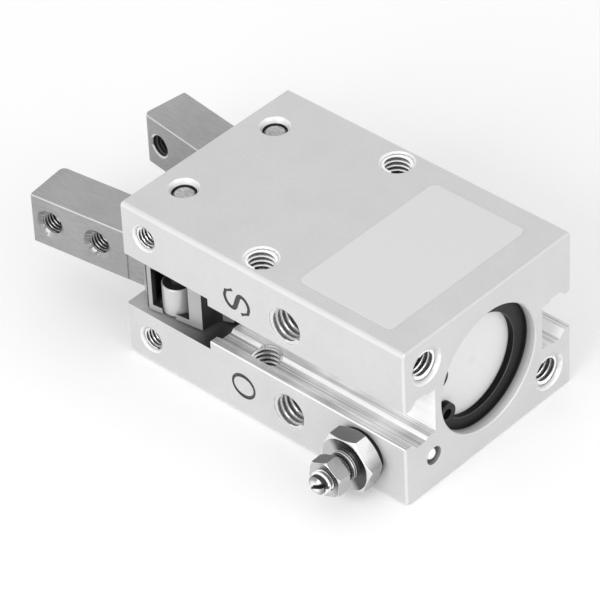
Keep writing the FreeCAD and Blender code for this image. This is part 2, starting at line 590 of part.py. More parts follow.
for side, sign in (("left", 1), ("right", -1)):
    inward, outward = ("y", "-y") if sign > 0 else ("-y", "y")
    finger = new_body(side + "_finger")
    plan = profile(finger, side + "_plan", [(u, v * sign) for u, v in hub_plan], (0, 0, -half_finger))
    bar = pad(finger, side + "_bar", plan, finger_height)
    doc.recompute()
    bar = dress(finger, "Fillet", side + "_tip_inner", bar, edges_at(bar, at_tip(finger_in * sign), "z"),
                inner_round)
    doc.recompute()
    bar = dress(finger, "Fillet", side + "_tip_outer", bar, edges_at(bar, at_tip(finger_out * -sign), "z"),
                outer_round)
    doc.recompute()
    rims = [
        "Edge%d" % i for i, edge in enumerate(bar.Shape.Edges, 1)
        if all(near(abs(v.Z), half_finger.value) and v.X < -step_place.value + 0.001 for v in edge.Vertexes)
        and near(edge.Vertexes[0].Z, edge.Vertexes[-1].Z)
    ]
    dress(finger, "Chamfer", side + "_bar_rims", bar, rims, bar_chamfer)
    plan = profile(finger, side + "_arm_plan", [(u, v * sign) for u, v in arm_plan], (0, 0, -arm_half))
    pad(finger, side + "_arm", plan, arm_half * 2)
    plan = profile(finger, side + "_slot_plan", [(u, v * sign) for u, v in slot_plan], (0, 0, -half_finger - 1))
    slot = finger.newObject("PartDesign::Pocket", side + "_drive_slot")
    slot.Profile = plan
    slot.Reversed = True
    bind(slot, "Length", finger_height + 2)
    finger.Tip = slot
    # Pocket of the side roller, open to the side
    room = hub_out + 1 - roller_out
    box(finger, side + "_pocket", (pocket_long, room, pocket_half * 2),
        (-pocket_front, -roller_out * sign - (room if sign > 0 else 0), -pocket_half), cut=True)
    box(finger, side + "_pocket_deep", (2.2, 2.4, pocket_half * 2),
        (-pocket_front - 1.1, -4.2 * sign - 1.2, -pocket_half), cut=True)
    # The roller reaches to the lower face of the hub; its pin is held in the upper flange
    cylinder(finger, side + "_pocket_round", roller_radius + roller_room, pocket_half + half_finger + 1,
             (roller_back, -roller_out * sign, -half_finger - 1), cut=True)
    cylinder(finger, side + "_roller_pin_hole", roller_pin_radius + press_gap, flange + 2,
             (roller_back, -roller_out * sign, pocket_half - 1), cut=True)
    cylinder(finger, side + "_hub_bore", pin_radius + run_gap, finger_height + 2, (0, 0, -half_finger - 1), cut=True)
    for number, along in (("far", jaw_tap_far), ("near", jaw_tap_near)):
        tapped(finger, "%s_%s_tap" % (side, number), tap_three, finger_out + finger_in + 1, outer_sink,
               (-along, -finger_out * sign, 0), inward)
        mouth(finger, "%s_%s_back" % (side, number), tap_three, inner_sink,
              (-along, finger_in * sign, 0), outward)
    finger.Placement = Placement(Vector(-pivot_x.value, -pivot_y.value * sign, 0),
                                 Rotation(Vector(0, 0, sign), rest_angle.value))
    bind(finger, "Placement.Base.x", -pivot_x)
    bind(finger, "Placement.Base.y", -pivot_y * sign)
    finger.setExpression("Placement.Rotation.Angle", "%s * 1 deg" % rest_angle.text)

    x = roller_back * cosd(rest_angle) + roller_out * sind(rest_angle) - pivot_x
    y = (roller_back * sind(rest_angle) - roller_out * cosd(rest_angle) - pivot_y) * sign
    foot = -half_finger + run_gap + roller_chamfer
    tall = roller_height - roller_chamfer * 2
    roller = new_body(side + "_side_roller")
    cylinder(roller, side + "_roller_disc", roller_radius, tall, (x, y, foot))
    cone(roller, side + "_roller_rim", roller_radius, roller_radius - roller_chamfer, roller_chamfer,
         (x, y, foot + tall))
    cone(roller, side + "_roller_foot", roller_radius, roller_radius - roller_chamfer, roller_chamfer,
         (x, y, foot), "-z")
    cylinder(roller, side + "_roller_bore", roller_pin_radius + run_gap, roller_height + 2, (x, y, foot - 1), cut=True)
    pin = new_body(side + "_roller_pin")
    cylinder(pin, side + "_roller_pin_shank", roller_pin_radius, finger_height - roller_chamfer * 2,
             (x, y, -half_finger + roller_chamfer))

# Fork on the rod, with its two drive pins
head = new_body("pusher_head")
fork_long = web_offset + fork_nose
box(head, "head_web", (web_thick, fork_reach * 2, finger_height), (-web_front, -fork_reach, -half_finger))
plate = half_finger - arm_half - fork_play
for name, z in (("head_top", half_finger - plate), ("head_bottom", -half_finger)):
    box(head, name, (fork_long + 0.2, fork_reach * 2, plate), (-drive_rest - fork_nose, -fork_reach, z))
for side, sign in (("left", -1), ("right", 1)):
    y = (pivot_y - drive_arm) * sign
    cylinder(head, side + "_drive_hole", drive_radius + press_gap, finger_height + 2,
             (-drive_rest, y, -half_finger - 1), cut=True)
    pin = new_body(side + "_drive_pin")
    cylinder(pin, side + "_drive_shank", drive_radius, finger_height - 0.2, (-drive_rest, y, -half_finger + 0.1))
cylinder(head, "head_thread_hole", spigot_radius + thread_gap, spigot_length + 0.2,
         (-web_rear, 0, 0), "-x", cut=True)

rod = new_body("piston_rod")
cylinder(rod, "rod_shank", rod_radius, web_rear - face_gap - piston_front - face_gap,
         (-piston_front - face_gap, 0, 0), "-x")
cylinder(rod, "rod_front", spigot_radius, spigot_length, (-web_rear + face_gap, 0, 0), "-x")
cylinder(rod, "rod_back", spigot_radius, piston_length - 0.2, (-piston_front - face_gap, 0, 0), "x")

# Piston with its seal, magnet, wear ring and nut
piston = new_body("piston_blank")
cylinder(piston, "piston_disc", bore_radius - piston_gap, piston_length, (-piston_back, 0, 0), "-x")
cylinder(piston, "piston_hole", spigot_radius + thread_gap, piston_length + 2, (-piston_back + 1, 0, 0),
         "-x", cut=True)
cylinder(piston, "nut_recess", nut_radius + nut_room, nut_thick + nut_sink + face_gap,
         (-piston_back, 0, 0), "-x", cut=True)
turned = piston
for name, label, back, wide, deep, gap in (
    ("seal", "piston_seal", seal_back, seal_wide, seal_deep, drive_gap),
    ("magnet", "magnet_ring", magnet_back, magnet_wide, magnet_deep, magnet_gap),
    ("wear", "wear_ring", wear_back, wear_wide, wear_deep, run_gap),
):
    rear = piston_back + back
    tool = turned_ring(name + "_groove", bore_radius - deep, bore_radius + 1, rear, wide)
    turned = less("piston" if name == "wear" else "piston_less_" + name, turned, tool)
    turned_ring(label, bore_radius - deep + thread_gap, bore_radius - gap, rear + run_gap, wide - run_gap * 2)
turned_ring("rod_nut", spigot_radius + thread_gap, nut_radius, piston_back + nut_sink, nut_thick)

# Rod bush, rod seal and bumpers
turned_ring("rod_bush", rod_radius + run_gap, gland_radius - press_gap, chamber_end + face_gap, bush_length)
turned_ring("rod_seal", rod_radius + press_gap, gland_radius - press_gap,
            chamber_end + face_gap * 2 + bush_length, lip_seal)
turned_ring("head_bumper", rod_radius + rod_gap, stop_radius, chamber_end - head_stop, head_stop - press_gap)
turned_ring("cap_bumper", cap_stop_hole, stop_radius, cap_seat + press_gap, cap_stop - press_gap)


def hexagon(label, across, face, rise, out, thick, turn):
    """A hexagon with turned corners and a bore, standing on the port side."""
    corner = across / math.sqrt(3.0)
    x, y, z = -valve_x, -half_width - out, -valve_down
    prism = doc.addObject("Part::Prism", label + "_prism")
    prism.Polygon = 6
    bind(prism, "Circumradius", corner)
    bind(prism, "Height", thick)
    prism.Placement = Placement(Vector(x.value, y.value, z.value),
                                Rotation(Vector(1, 0, 0), 90).multiply(Rotation(Vector(0, 0, 1), turn.value)))
    for key, v in (("x", x), ("y", y), ("z", z)):
        bind(prism, "Placement.Base.%s" % key, v)
    trim = new_body(label + "_trim")
    cone(trim, label + "_near", face, corner + 0.01, rise, (x, y, z), "-y")
    cylinder(trim, label + "_middle", corner + 0.01, thick - rise * 2, (x, y - rise, z), "-y")
    cone(trim, label + "_far", corner + 0.01, face, rise, (x, y - thick + rise, z), "-y")
    cylinder(trim, label + "_bore", needle_radius + run_gap, thick + 2, (x, y + 1, z), "-y", cut=True)
    made = doc.addObject("Part::Common", label)
    made.Base = prism
    made.Tool = trim
    return made


# Needle valve: gasket, gland, lock nut and needle
x, z = -valve_x, -valve_down
gasket = new_body("gland_gasket")
cylinder(gasket, "gasket_disc", gasket_radius, gasket_thick - face_gap, (x, -half_width - face_gap / 2, z), "-y")
cylinder(gasket, "gasket_hole", valve_radius, gasket_thick + 2, (x, -half_width + 1, z), "-y", cut=True)
gland_hex = hexagon("gland_hex", gland_across, gland_face, gland_crown, gasket_thick + face_gap / 2,
                    gland_thick, gland_turn)
tube = new_body("gland_tube")
deep = valve_depth - 0.3
cylinder(tube, "gland_thread", valve_radius - drive_gap, deep + gasket_thick + 0.5,
         (x, -half_width - gasket_thick - 0.5, z), "y")
cylinder(tube, "gland_boss", boss_radius, gland_thick + boss_length, (x, -half_width - gasket_thick, z), "-y")
cylinder(tube, "gland_bore", needle_radius + run_gap, deep + gland_thick + 2,
         (x, -half_width + deep - 0.6, z), "-y", cut=True)
cylinder(tube, "gland_nose", stem_radius + drive_gap, deep, (x, -half_width + deep + 1, z), "-y", cut=True)
gland = doc.addObject("Part::MultiFuse", "needle_gland")
gland.Shapes = [gland_hex, tube]
hexagon("lock_nut", nut_across, lock_face, lock_crown, lock_place, lock_thick, lock_turn)
needle = new_body("adjusting_needle")
cylinder(needle, "needle_shank", needle_radius, needle_out + 0.2, (x, -half_width + 0.2, z), "-y")
cone(needle, "needle_end", needle_radius, needle_radius * 0.6, needle_dome, (x, -half_width - needle_out, z), "-y")
cylinder(needle, "needle_stem", stem_radius, stem_length, (x, -half_width + 0.2, z), "y")
cone(needle, "needle_point", stem_radius, stem_radius / 3, point_length,
     (x, -half_width + 0.2 + stem_length, z), "y")
half = needle_slot / 2
box(needle, "driver_slot", (needle_radius * 3, needle_dome + 0.4, needle_slot),
    (x - needle_radius * 1.5 * cosd(slot_lean) + half * sind(slot_lean),
     -half_width - needle_out - needle_dome - 0.1,
     z - needle_radius * 1.5 * sind(slot_lean) - half * cosd(slot_lean)),
    cut=True, axis=(0, -1, 0), angle=slot_lean)

# Type label on the top face
label = new_body("type_label")
box(label, "label_sheet", (label_length, label_width, label_thick),
    (-label_rear - label_length, -label_width / 2 - label_shift, half_height))
doc.recompute()
label_sheet = doc.getObject("label_sheet")
corners = [
    "Edge%d" % i for i, edge in enumerate(label_sheet.Shape.Edges, 1)
    if not near(edge.Vertexes[0].Z, edge.Vertexes[-1].Z)
]
dress(label, "Fillet", "label_corners", label_sheet, corners, label_round)
doc.recompute()

NODES = [
    "body_housing", "end_cap", "cap_oring", "retaining_ring", "ball_plug", "type_label",
    "left_pivot_pin", "right_pivot_pin", "left_finger", "right_finger", "left_side_roller",
    "right_side_roller", "left_roller_pin", "right_roller_pin", "pusher_head", "left_drive_pin",
    "right_drive_pin", "piston_rod", "piston", "piston_seal", "magnet_ring", "wear_ring", "rod_nut",
    "rod_bush", "rod_seal", "head_bumper", "cap_bumper", "needle_gland", "gland_gasket", "lock_nut",
    "adjusting_needle",
]
for obj in doc.Objects:
    if "Invalid" in obj.State or "Error" in obj.State:
        raise RuntimeError("%s is %s" % (obj.Name, obj.State))
nodes = [(name, doc.getObjectsByLabel(name)[0].Shape) for name in NODES]
for name, shape in nodes:
    if shape.isNull() or not shape.isValid() or len(shape.Solids) != 1:
        raise RuntimeError("%s is not one valid solid" % name)
os.makedirs("parts", exist_ok=True)
for name, shape in nodes:
    shape.exportStep("parts/%s.step" % name)
print("nodes", len(nodes))
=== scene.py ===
import itertools
import logging
import math
from dataclasses import dataclass
from enum import Enum, IntEnum
from typing import Callable, Iterable, Optional, Sequence

import bpy
from mathutils import Matrix, Vector


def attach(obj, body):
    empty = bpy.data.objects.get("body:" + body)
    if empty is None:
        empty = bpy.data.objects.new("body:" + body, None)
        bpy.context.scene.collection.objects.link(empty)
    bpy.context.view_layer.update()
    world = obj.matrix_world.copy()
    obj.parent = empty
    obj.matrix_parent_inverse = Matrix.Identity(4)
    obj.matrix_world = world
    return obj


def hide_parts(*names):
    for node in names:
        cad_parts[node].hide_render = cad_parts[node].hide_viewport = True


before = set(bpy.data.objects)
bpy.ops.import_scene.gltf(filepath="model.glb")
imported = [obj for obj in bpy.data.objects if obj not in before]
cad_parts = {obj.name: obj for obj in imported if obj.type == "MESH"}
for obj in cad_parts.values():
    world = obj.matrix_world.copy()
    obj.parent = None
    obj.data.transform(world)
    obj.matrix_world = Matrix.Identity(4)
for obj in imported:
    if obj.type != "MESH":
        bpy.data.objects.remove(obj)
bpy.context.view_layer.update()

MM = 0.001
# Height of a cutting tool above the surface that it opens, and slack of a test of place, in millimetres
ABOVE = 0.6
NEAR = 0.02
# A port mark's solid starts this far below the surface, and is this high
MARK_DEPTH = 0.1
MARK_HEIGHT = 0.4
# Largest turn that is smoothed over on a thread's ridge, in degrees
RIDGE_ANGLE = 40.0
# Least roughness of a finish
GLOSSIEST = 0.03
log = logging.getLogger("gripper")

Color = tuple[float, float, float]
Rule = Callable[[Vector, Vector], int]


class Slot(Enum):
    """Material slots of the record, listed beside each part in SmallParts' table."""

    ALUMINIUM = "aluminium"
    RESIN = "resin"
    RUBBER = "rubber"
    RING = "ring_steel"
    PIN = "pin_steel"
    FINGER = "finger_steel"
    NICKEL = "nickel"


class Side(Enum):
    """The two sides of the gripper, by the sign of their Y."""

    LEFT = -1
    RIGHT = 1


class Shine(Enum):
    """How bright a thread looks, as painted light and shade: the tones of its flank toward the mouth (painted
    light), its root and its crest (painted shade), and how metallic its flank is.
    """

    BRIGHT = (0.97, 0.1, 0.16, 0.85)
    PLAIN = (0.72, 0.3, 0.5, 0.5)
    DULL = (0.26, 0.03, 0.06, 0.85)


class HousingFace(IntEnum):
    """Finishes of the housing's own faces, by the number of their material."""

    BLASTED = 0
    EXTRUDED = 1
    # Painted highlight on the rounded outer edges.
    EDGE = 2
    # Painted shade inside the finger slot.
    SLOT = 3
    # Painted highlight on the groove's sloped facets.
    RAMP = 4
    # Painted light on the groove's core wall.
    CORE = 5


class FingerFace(IntEnum):
    """Finishes of a finger's own faces, by the number of their material."""

    BAR = 0
    # Painted highlight on the edges.
    EDGE = 1
    HUB = 2
    # Painted shade in the pocket and on faces toward the rear.
    POCKET = 3
    TAIL = 4
    # Painted shade: the sides darker than the top.
    SIDE = 5


class NutFace(IntEnum):
    """Finishes of a hexagon's faces, by the number of their material, each facet painted lighter or darker by
    the way it faces.
    """

    TOP = 0
    RIGHT = 1
    LOW = 2
    CHAMFER = 3
    FRONT = 4
    BOSS = 5


class Number:
    """A number socket of a node tree, with the sums it can be used in."""

    def __init__(self, tree: "Tree", socket: bpy.types.NodeSocket) -> None:
        """Keeps the socket and the tree it belongs to."""
        self.tree = tree
        self.socket = socket

    def _sum(self, operation: str, first: object, second: object) -> "Number":
        """The result of one Math node with an operation and its two numbers or Numbers."""
        node = self.tree.node("ShaderNodeMath", {"operation": operation}, {0: first, 1: second})
        return Number(self.tree, node.outputs[0])

    def __add__(self, other: object) -> "Number":
        """The sum."""
        return self._sum("ADD", self, other)

    __radd__ = __add__

    def __sub__(self, other: object) -> "Number":
        """The difference."""
        return self._sum("SUBTRACT", self, other)

    def __rsub__(self, other: object) -> "Number":
        """The reflected difference."""
        return self._sum("SUBTRACT", other, self)

    def __mul__(self, other: object) -> "Number":
        """The product."""
        return self._sum("MULTIPLY", self, other)

    __rmul__ = __mul__

    def __truediv__(self, other: object) -> "Number":
        """The quotient."""
        return self._sum("DIVIDE", self, other)

    def larger(self, other: object) -> "Number":
        """The larger of this and another number."""
        return self._sum("MAXIMUM", self, other)

    def clamp(self, low: float, high: float) -> "Number":
        """The number kept between two limits."""
        return self._sum("MINIMUM", self.larger(low), high)


class Tree:
    """The nodes of a material or a world under construction."""

    def __init__(self, owner: bpy.types.ID) -> None:
        """Starts with no node.

        Args:
            owner: the material or the world.
        """
        owner.use_nodes = True
        self.tree = owner.node_tree
        self.tree.nodes.clear()

    def node(self, kind: str, settings: dict, inputs: dict) -> bpy.types.Node:
        """Adds a node.

        Args:
            kind: the node's type name.
            settings: its settings, such as an operation.
            inputs: values, Numbers or sockets by input name or place.

        Returns:
            The new node.
        """
        made = self.tree.nodes.new(kind)
        for key, value in settings.items():
            setattr(made, key, value)
        self.feed(made, inputs)
        return made

    def feed(self, node: bpy.types.Node, inputs: dict) -> None:
        """Sets or links sockets of a node.

        Args:
            node: the node.
            inputs: values, Numbers or sockets by input name or place.
        """
        for key, value in inputs.items():
            source = value.socket if isinstance(value, Number) else value
            if isinstance(source, bpy.types.NodeSocket):
                self.tree.links.new(source, node.inputs[key])
            else:
                node.inputs[key].default_value = source

    def seen(self) -> Number:
        """Whether the camera, a reflection or a clear body looks here.

        Returns:
            1 where one does, 0 for all other light.
        """
        path = self.node("ShaderNodeLightPath", {}, {}).outputs
        seen = Number(self, path["Is Camera Ray"])
        for other in ("Is Glossy Ray", "Is Transmission Ray"):
            seen = seen.larger(path[other])
        return seen


class Paint(Tree):
    """A material under construction."""

    def __init__(self, name: str) -> None:
        """Starts a material with its surface shader and output.

        Args:
            name: the material's name.
        """
        self.material = bpy.data.materials.new(name)
        super().__init__(self.material)
        self.surface = self.node("ShaderNodeBsdfPrincipled", {}, {})
        self.node("ShaderNodeOutputMaterial", {}, {"Surface": self.surface.outputs[0]})

    def set(self, **inputs: object) -> None:
        """Sets or links sockets of the surface, their names with underscores for blanks."""
        self.feed(self.surface, {key.replace("_", " "): value for key, value in inputs.items()})

    def place(self, scale: Sequence[float] = (1, 1, 1), turn: Sequence[float] = (0, 0, 0),
              shift: Sequence[float] = (0, 0, 0)) -> bpy.types.NodeSocket:
        """The point on the piece, in metres, scaled, turned and shifted.

        Args:
            scale: scale of each axis.
            turn: turn about each axis in radians.
            shift: shift after the turn.

        Returns:
            A vector socket.
        """
        where = self.node("ShaderNodeTexCoord", {}, {}).outputs["Object"]
        made = self.node("ShaderNodeMapping", {"vector_type": "POINT"},
                         {"Vector": where, "Location": shift, "Rotation": turn, "Scale": scale})
        return made.outputs[0]

    def noise(self, where: bpy.types.NodeSocket, scale: float, detail: float = 3.0) -> Number:
        """Soft noise.

        Args:
            where: the point that it is taken at.
            scale: its scale, in cells to the metre.
            detail: how many finer layers it has.

        Returns:
            A number between about 0 and 1.
        """
        made = self.node("ShaderNodeTexNoise", {"noise_dimensions": "3D"},
                         {"Vector": where, "Scale": scale, "Detail": detail, "Roughness": 0.55})
        return Number(self, made.outputs["Fac"])

    def reach(self, centre: Sequence[float], axis: str) -> Number:
        """The distance from an axis, in metres.

        Args:
            centre: a point on the axis in millimetres.
            axis: "x", "y" or "z".

        Returns:
            The distance.
        """
        flat = {"x": (0, 1, 1), "y": (1, 0, 1), "z": (1, 1, 0)}[axis]
        where = self.place(scale=flat, shift=[-c * MM * f for c, f in zip(centre, flat)])
        made = self.node("ShaderNodeVectorMath", {"operation": "LENGTH"}, {0: where})
        return Number(self, made.outputs["Value"])

    def along(self, direction: Sequence[float]) -> Number:
        """The place along a direction.

        Args:
            direction: the direction.

        Returns:
            The distance from the origin in metres.
        """
        made = self.node("ShaderNodeVectorMath", {"operation": "DOT_PRODUCT"},
                         {0: self.place(), 1: tuple(direction)})
        return Number(self, made.outputs["Value"])

    def rings(self, centre: Sequence[float], axis: str, pitch: float) -> Number:
        """Fine turning marks round an axis.

        Args:
            centre: a point on the axis in millimetres.
            axis: "x", "y" or "z".
            pitch: rough distance between marks in metres.

        Returns:
            Noise that depends on the distance from the axis only.
        """
        made = self.node("ShaderNodeTexNoise", {"noise_dimensions": "1D"},
                         {"W": self.reach(centre, axis), "Scale": 1.0 / pitch, "Detail": 2.0})
        return Number(self, made.outputs["Fac"])

    def mix(self, low: object, high: object, factor: Number) -> bpy.types.NodeSocket:
        """A colour between two colours.

        Args:
            low: the colour at 0, three numbers or a socket.
            high: the colour at 1, three numbers or a socket.
            factor: the place between them.

        Returns:
            The mixed colour.
        """
        ends = [end if isinstance(end, bpy.types.NodeSocket) else (*end, 1) for end in (low, high)]
        made = self.node("ShaderNodeMix", {"data_type": "RGBA"}, {0: factor, 6: ends[0], 7: ends[1]})
        return made.outputs[2]

    def shade(self, color: object, light: Number) -> bpy.types.NodeSocket:
        """A colour made lighter or darker by a number near 1."""
        made = self.node("ShaderNodeVectorMath", {"operation": "SCALE"}, {0: color, "Scale": light})
        return made.outputs[0]

    def relief(self, height: Number, depth: float) -> None:
        """Bumps the surface by a height between 0 and 1, whose whole step has a depth in metres."""
        bump = self.node("ShaderNodeBump", {}, {"Height": height, "Distance": depth, "Strength": 1.0})
        self.set(Normal=bump.outputs[0])


@dataclass(frozen=True)
class Fade:
    """A change of tone along a direction, between two places in millimetres."""

    direction: tuple[float, float, float]
    start: float
    end: float
    color: Color

    def share(self, paint: Paint) -> Number:
        """How far the change has gone, from 0 to 1."""
        gone = (paint.along(self.direction) - self.start * MM) / ((self.end - self.start) * MM)
        return gone.clamp(0.0, 1.0)


@dataclass(frozen=True)
class Halo:
    """A change of tone round an axis, beyond a radius or inside it, in millimetres."""

    centre: tuple[float, float, float]
    axis: str
    radius: float
    color: Color
    width: float = 0.05
    inside: bool = False
    strength: float = 1.0

    def share(self, paint: Paint) -> Number:
        """How far the change has gone.

        Args:
            paint: the material.

        Returns:
            A number from 0 to the change's strength.
        """
        reach = paint.reach(self.centre, self.axis)
        out = ((reach - self.radius * MM) / (self.width * MM)).clamp(0.0, 1.0)
        return (1.0 - out if self.inside else out) * self.strength


def toned(paint: Paint, color: Color, changes: Sequence[Fade | Halo]) -> object:
    """A colour with changes of tone laid over it.

    Args:
        paint: the material.
        color: the colour.
        changes: its changes of tone, each over the ones before.

    Returns:
        The colour itself where it has no change, or else a socket.
    """
    made: object = color
    for change in changes:
        made = paint.mix(made, change.color, change.share(paint))
    return made


@dataclass(frozen=True)
class Finish:
    """A surface finish: colour, gloss, the grain that varies them, and changes of tone."""

    name: str
    color: Color
    metallic: float = 1.0
    roughness: float = 0.4
    spread: float = 0.08
    tint: float = 0.06
    grain: tuple[float, float, float] = (1.0, 1.0, 1.0)
    turn: float = 0.0
    grain_size: float = 0.12
    cloud_size: float = 6.0
    relief: float = 0.004
    specular: float = 0.5
    changes: tuple[Fade | Halo, ...] = ()

    def make(self) -> bpy.types.Material:
        """Builds the material.

        Returns:
            The material with its grain, clouding, changes of tone and relief.
        """
        paint = Paint(self.name)
        fine = paint.noise(paint.place(scale=self.grain, turn=(0, 0, self.turn)), 1 / (self.grain_size * MM))
        cloud = paint.noise(paint.place(), 1 / (self.cloud_size * MM), 2.0)
        fine_share = 0.65
        both = (fine * fine_share + cloud * (1.0 - fine_share)).clamp(0.0, 1.0)
        light = (1.0 + (both - 0.5) * self.tint * 4).clamp(0.0, 2.0)
        paint.set(Base_Color=paint.shade(toned(paint, self.color, self.changes), light),
                  Roughness=(self.roughness + (both - 0.5) * self.spread * 2).clamp(GLOSSIEST, 1.0),
                  Metallic=self.metallic, Specular_IOR_Level=self.specular)
        if self.relief:
            paint.relief(fine, self.relief * MM)
        return paint.material


@dataclass(frozen=True)
class TurnedFinish:
    """A turned metal surface, with fine rings round its axis and changes of tone."""

    name: str
    color: Color
    centre: tuple[float, float, float]
    axis: str
    roughness: float = 0.22
    spread: float = 0.07
    pitch: float = 0.09
    relief: float = 0.004
    tint: float = 0.08
    changes: tuple[Fade | Halo, ...] = ()

    def make(self) -> bpy.types.Material:
        """Builds the material.

        Returns:
            The material with its rings, changes of tone and relief.
        """
        paint = Paint(self.name)
        rings = paint.rings(self.centre, self.axis, self.pitch * MM)
        light = 1.0 + (rings - 0.5) * self.tint * 4
        paint.set(Base_Color=paint.shade(toned(paint, self.color, self.changes), light), Metallic=1.0,
                  Roughness=(self.roughness + (rings - 0.5) * self.spread * 2).clamp(GLOSSIEST, 1.0))
        paint.relief(rings, self.relief * MM)
        return paint.material


@dataclass(frozen=True)
class Thread:
    """A metric thread: outer and core radius and pitch, in metres."""

    outer: float
    core: float
    pitch: float


M3 = Thread(1.5 * MM, 1.25 * MM, 0.5 * MM)
M4 = Thread(2.0 * MM, 1.65 * MM, 0.7 * MM)
M5 = Thread(2.5 * MM, 2.1 * MM, 0.8 * MM)


def grey(tone: float) -> Color:
    """A neutral colour."""
    return (tone, tone, tone * 1.005)


def pick(*objects: bpy.types.Object) -> None:
    """Selects objects, without any other, and makes the first one active.

    Args:
        objects: the objects.
    """
    bpy.ops.object.select_all(action="DESELECT")
    for obj in objects:
        obj.select_set(True)
    bpy.context.view_layer.objects.active = objects[0]


def added(add: Callable[..., object], **settings: object) -> bpy.types.Object:
    """Adds a mesh with nothing else selected.

    Args:
        add: the operator that adds it.
        settings: the operator's settings.

    Returns:
        The new object.
    """
    bpy.ops.object.select_all(action="DESELECT")
    add(**settings)
    return bpy.context.view_layer.objects.active


def in_edit(obj: bpy.types.Object, work: Callable[[], None]) -> None:
    """Runs an operator on a whole mesh in edit mode.

    Args:
        obj: the object.
        work: a call that uses edit mode operators.
    """
    pick(obj)
    bpy.ops.object.mode_set(mode="EDIT")
    bpy.ops.mesh.select_all(action="SELECT")
    work()
    bpy.ops.object.mode_set(mode="OBJECT")


def settle(obj: bpy.types.Object) -> None:
    """Puts an object's place and turn into its mesh."""
    pick(obj)
    bpy.ops.object.transform_apply(location=True, rotation=True, scale=True)


def aim(direction: Sequence[float]) -> tuple[float, float, float]:
    """Euler angles that turn local +Z to a direction."""
    return tuple(Vector((0, 0, 1)).rotation_difference(Vector(direction)).to_euler())


def apply_modifier(obj: bpy.types.Object, kind: str, **settings: object) -> None:
    """Adds a modifier and applies it.

    Args:
        obj: the object.
        kind: the modifier's type.
        settings: its settings by name.
    """
    modifier = obj.modifiers.new(kind.lower(), kind)
    for key, value in settings.items():
        setattr(modifier, key, value)
    pick(obj)
    bpy.ops.object.modifier_apply(modifier=modifier.name)


def soften(obj: bpy.types.Object, width: float, segments: int = 2, angle: float = 30.0) -> None:
    """Rounds the sharp edges of a piece and shades it smooth.

    Args:
        obj: the piece.
        width: width of the rounding in metres.
        segments: faces across the rounding.
        angle: edges sharper than this are rounded, in degrees.
    """
    if width:
        apply_modifier(obj, "BEVEL", width=width, segments=segments, limit_method="ANGLE",
                       angle_limit=math.radians(angle), use_clamp_overlap=True)
    smooth(obj)


def smooth(obj: bpy.types.Object, angle: float = 28.0, own: Optional[int] = None) -> None:
    """Shades a piece smooth except over sharper edges, with its flat faces left flat.

    Args:
        obj: the piece.
        angle: largest turn that is smoothed over, in degrees.
        own: how many of its materials are its own, where the edges of its cuts have to be sharp.
    """
    pick(obj)
    bpy.ops.object.shade_smooth_by_angle(angle=math.radians(angle))
    if own is not None:
        sides: dict[tuple[int, int], set[bool]] = {}
        for face in obj.data.polygons:
            for key in face.edge_keys:
                sides.setdefault(key, set()).add(face.material_index >= own)
        for edge in obj.data.edges:
            if len(sides[edge.key]) > 1:
                edge.use_edge_sharp = True
    apply_modifier(obj, "WEIGHTED_NORMAL", keep_sharp=True, weight=50)


def paint_with(obj: bpy.types.Object, *materials: bpy.types.Material) -> None:
    """Gives a piece materials in place of its own.

    Args:
        obj: the piece.
        materials: the materials.
    """
    obj.data.materials.clear()
    for material in materials:
        obj.data.materials.append(material)


def copy_of(node: str, name: str) -> bpy.types.Object:
    """A free copy of a CAD node's mesh, with its loose triangles joined.

    Args:
        node: the node's name.
        name: name of the copy.

    Returns:
        The copy, at the origin.
    """
    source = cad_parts[node]
    made = source.copy()
    made.data = source.data.copy()
    made.name = made.data.name = name
    bpy.context.scene.collection.objects.link(made)
    made.parent = None
    made.matrix_world = Matrix.Identity(4)
    touching, flat = 0.002 * MM, math.radians(0.4)
    in_edit(made, lambda: bpy.ops.mesh.remove_doubles(threshold=touching))
    in_edit(made, lambda: bpy.ops.mesh.dissolve_limited(angle_limit=flat))
    return made


def join(name: str, pieces: Sequence[bpy.types.Object]) -> bpy.types.Object:
    """Joins pieces into one object.

    Args:
        name: name of the object.
        pieces: the pieces.

    Returns:
        The object.
    """
    pick(*pieces)
    bpy.ops.object.join()
    made = bpy.context.view_layer.objects.active
    made.name = made.data.name = name
    return made


def cylinder(radius: float, start: Vector, direction: Vector, length: float,
             sides: int = 48) -> bpy.types.Object:
    """A cylinder from a point along a direction.

    Args:
        radius: its radius in metres.
        start: middle of its first end.
        direction: the way to its other end.
        length: its length in metres.
        sides: faces around it.

    Returns:
        The solid.
    """
    middle = Vector(start) + Vector(direction).normalized() * length / 2
    made = added(bpy.ops.mesh.primitive_cylinder_add, vertices=sides, radius=radius, depth=length,
                 location=middle, rotation=aim(direction))
    settle(made)
    return made


def turned(profile: Sequence[tuple[float, float]], sides: int = 48) -> bpy.types.Object:
    """A turned solid about local +Z.

    Args:
        profile: radius and height of each ring in millimetres, from the foot up.
        sides: faces around it.

    Returns:
        The closed solid.
    """
    made = added(bpy.ops.mesh.primitive_circle_add, vertices=sides, radius=profile[0][0] * MM,
                 fill_type="NGON", location=(0, 0, profile[0][1] * MM))

    def raise_rings() -> None:
        """Draws each ring out of the one below it."""
        for (radius, height), (next_radius, next_height) in zip(profile, profile[1:]):
            bpy.ops.mesh.extrude_region_move(
                TRANSFORM_OT_translate={"value": (0, 0, (next_height - height) * MM)})
            bpy.ops.transform.resize(value=(next_radius / radius, next_radius / radius, 1))
        bpy.ops.mesh.select_all(action="SELECT")
        bpy.ops.mesh.normals_make_consistent(inside=False)

    in_edit(made, raise_rings)
    settle(made)
    return made


def raise_flat() -> None:
    """Makes a flat sheet in edit mode a solid of a mark's height."""
    bpy.ops.mesh.extrude_region_move(TRANSFORM_OT_translate={"value": (0, 0, MARK_HEIGHT * MM)})
    bpy.ops.mesh.select_all(action="SELECT")
    bpy.ops.mesh.normals_make_consistent(inside=False)


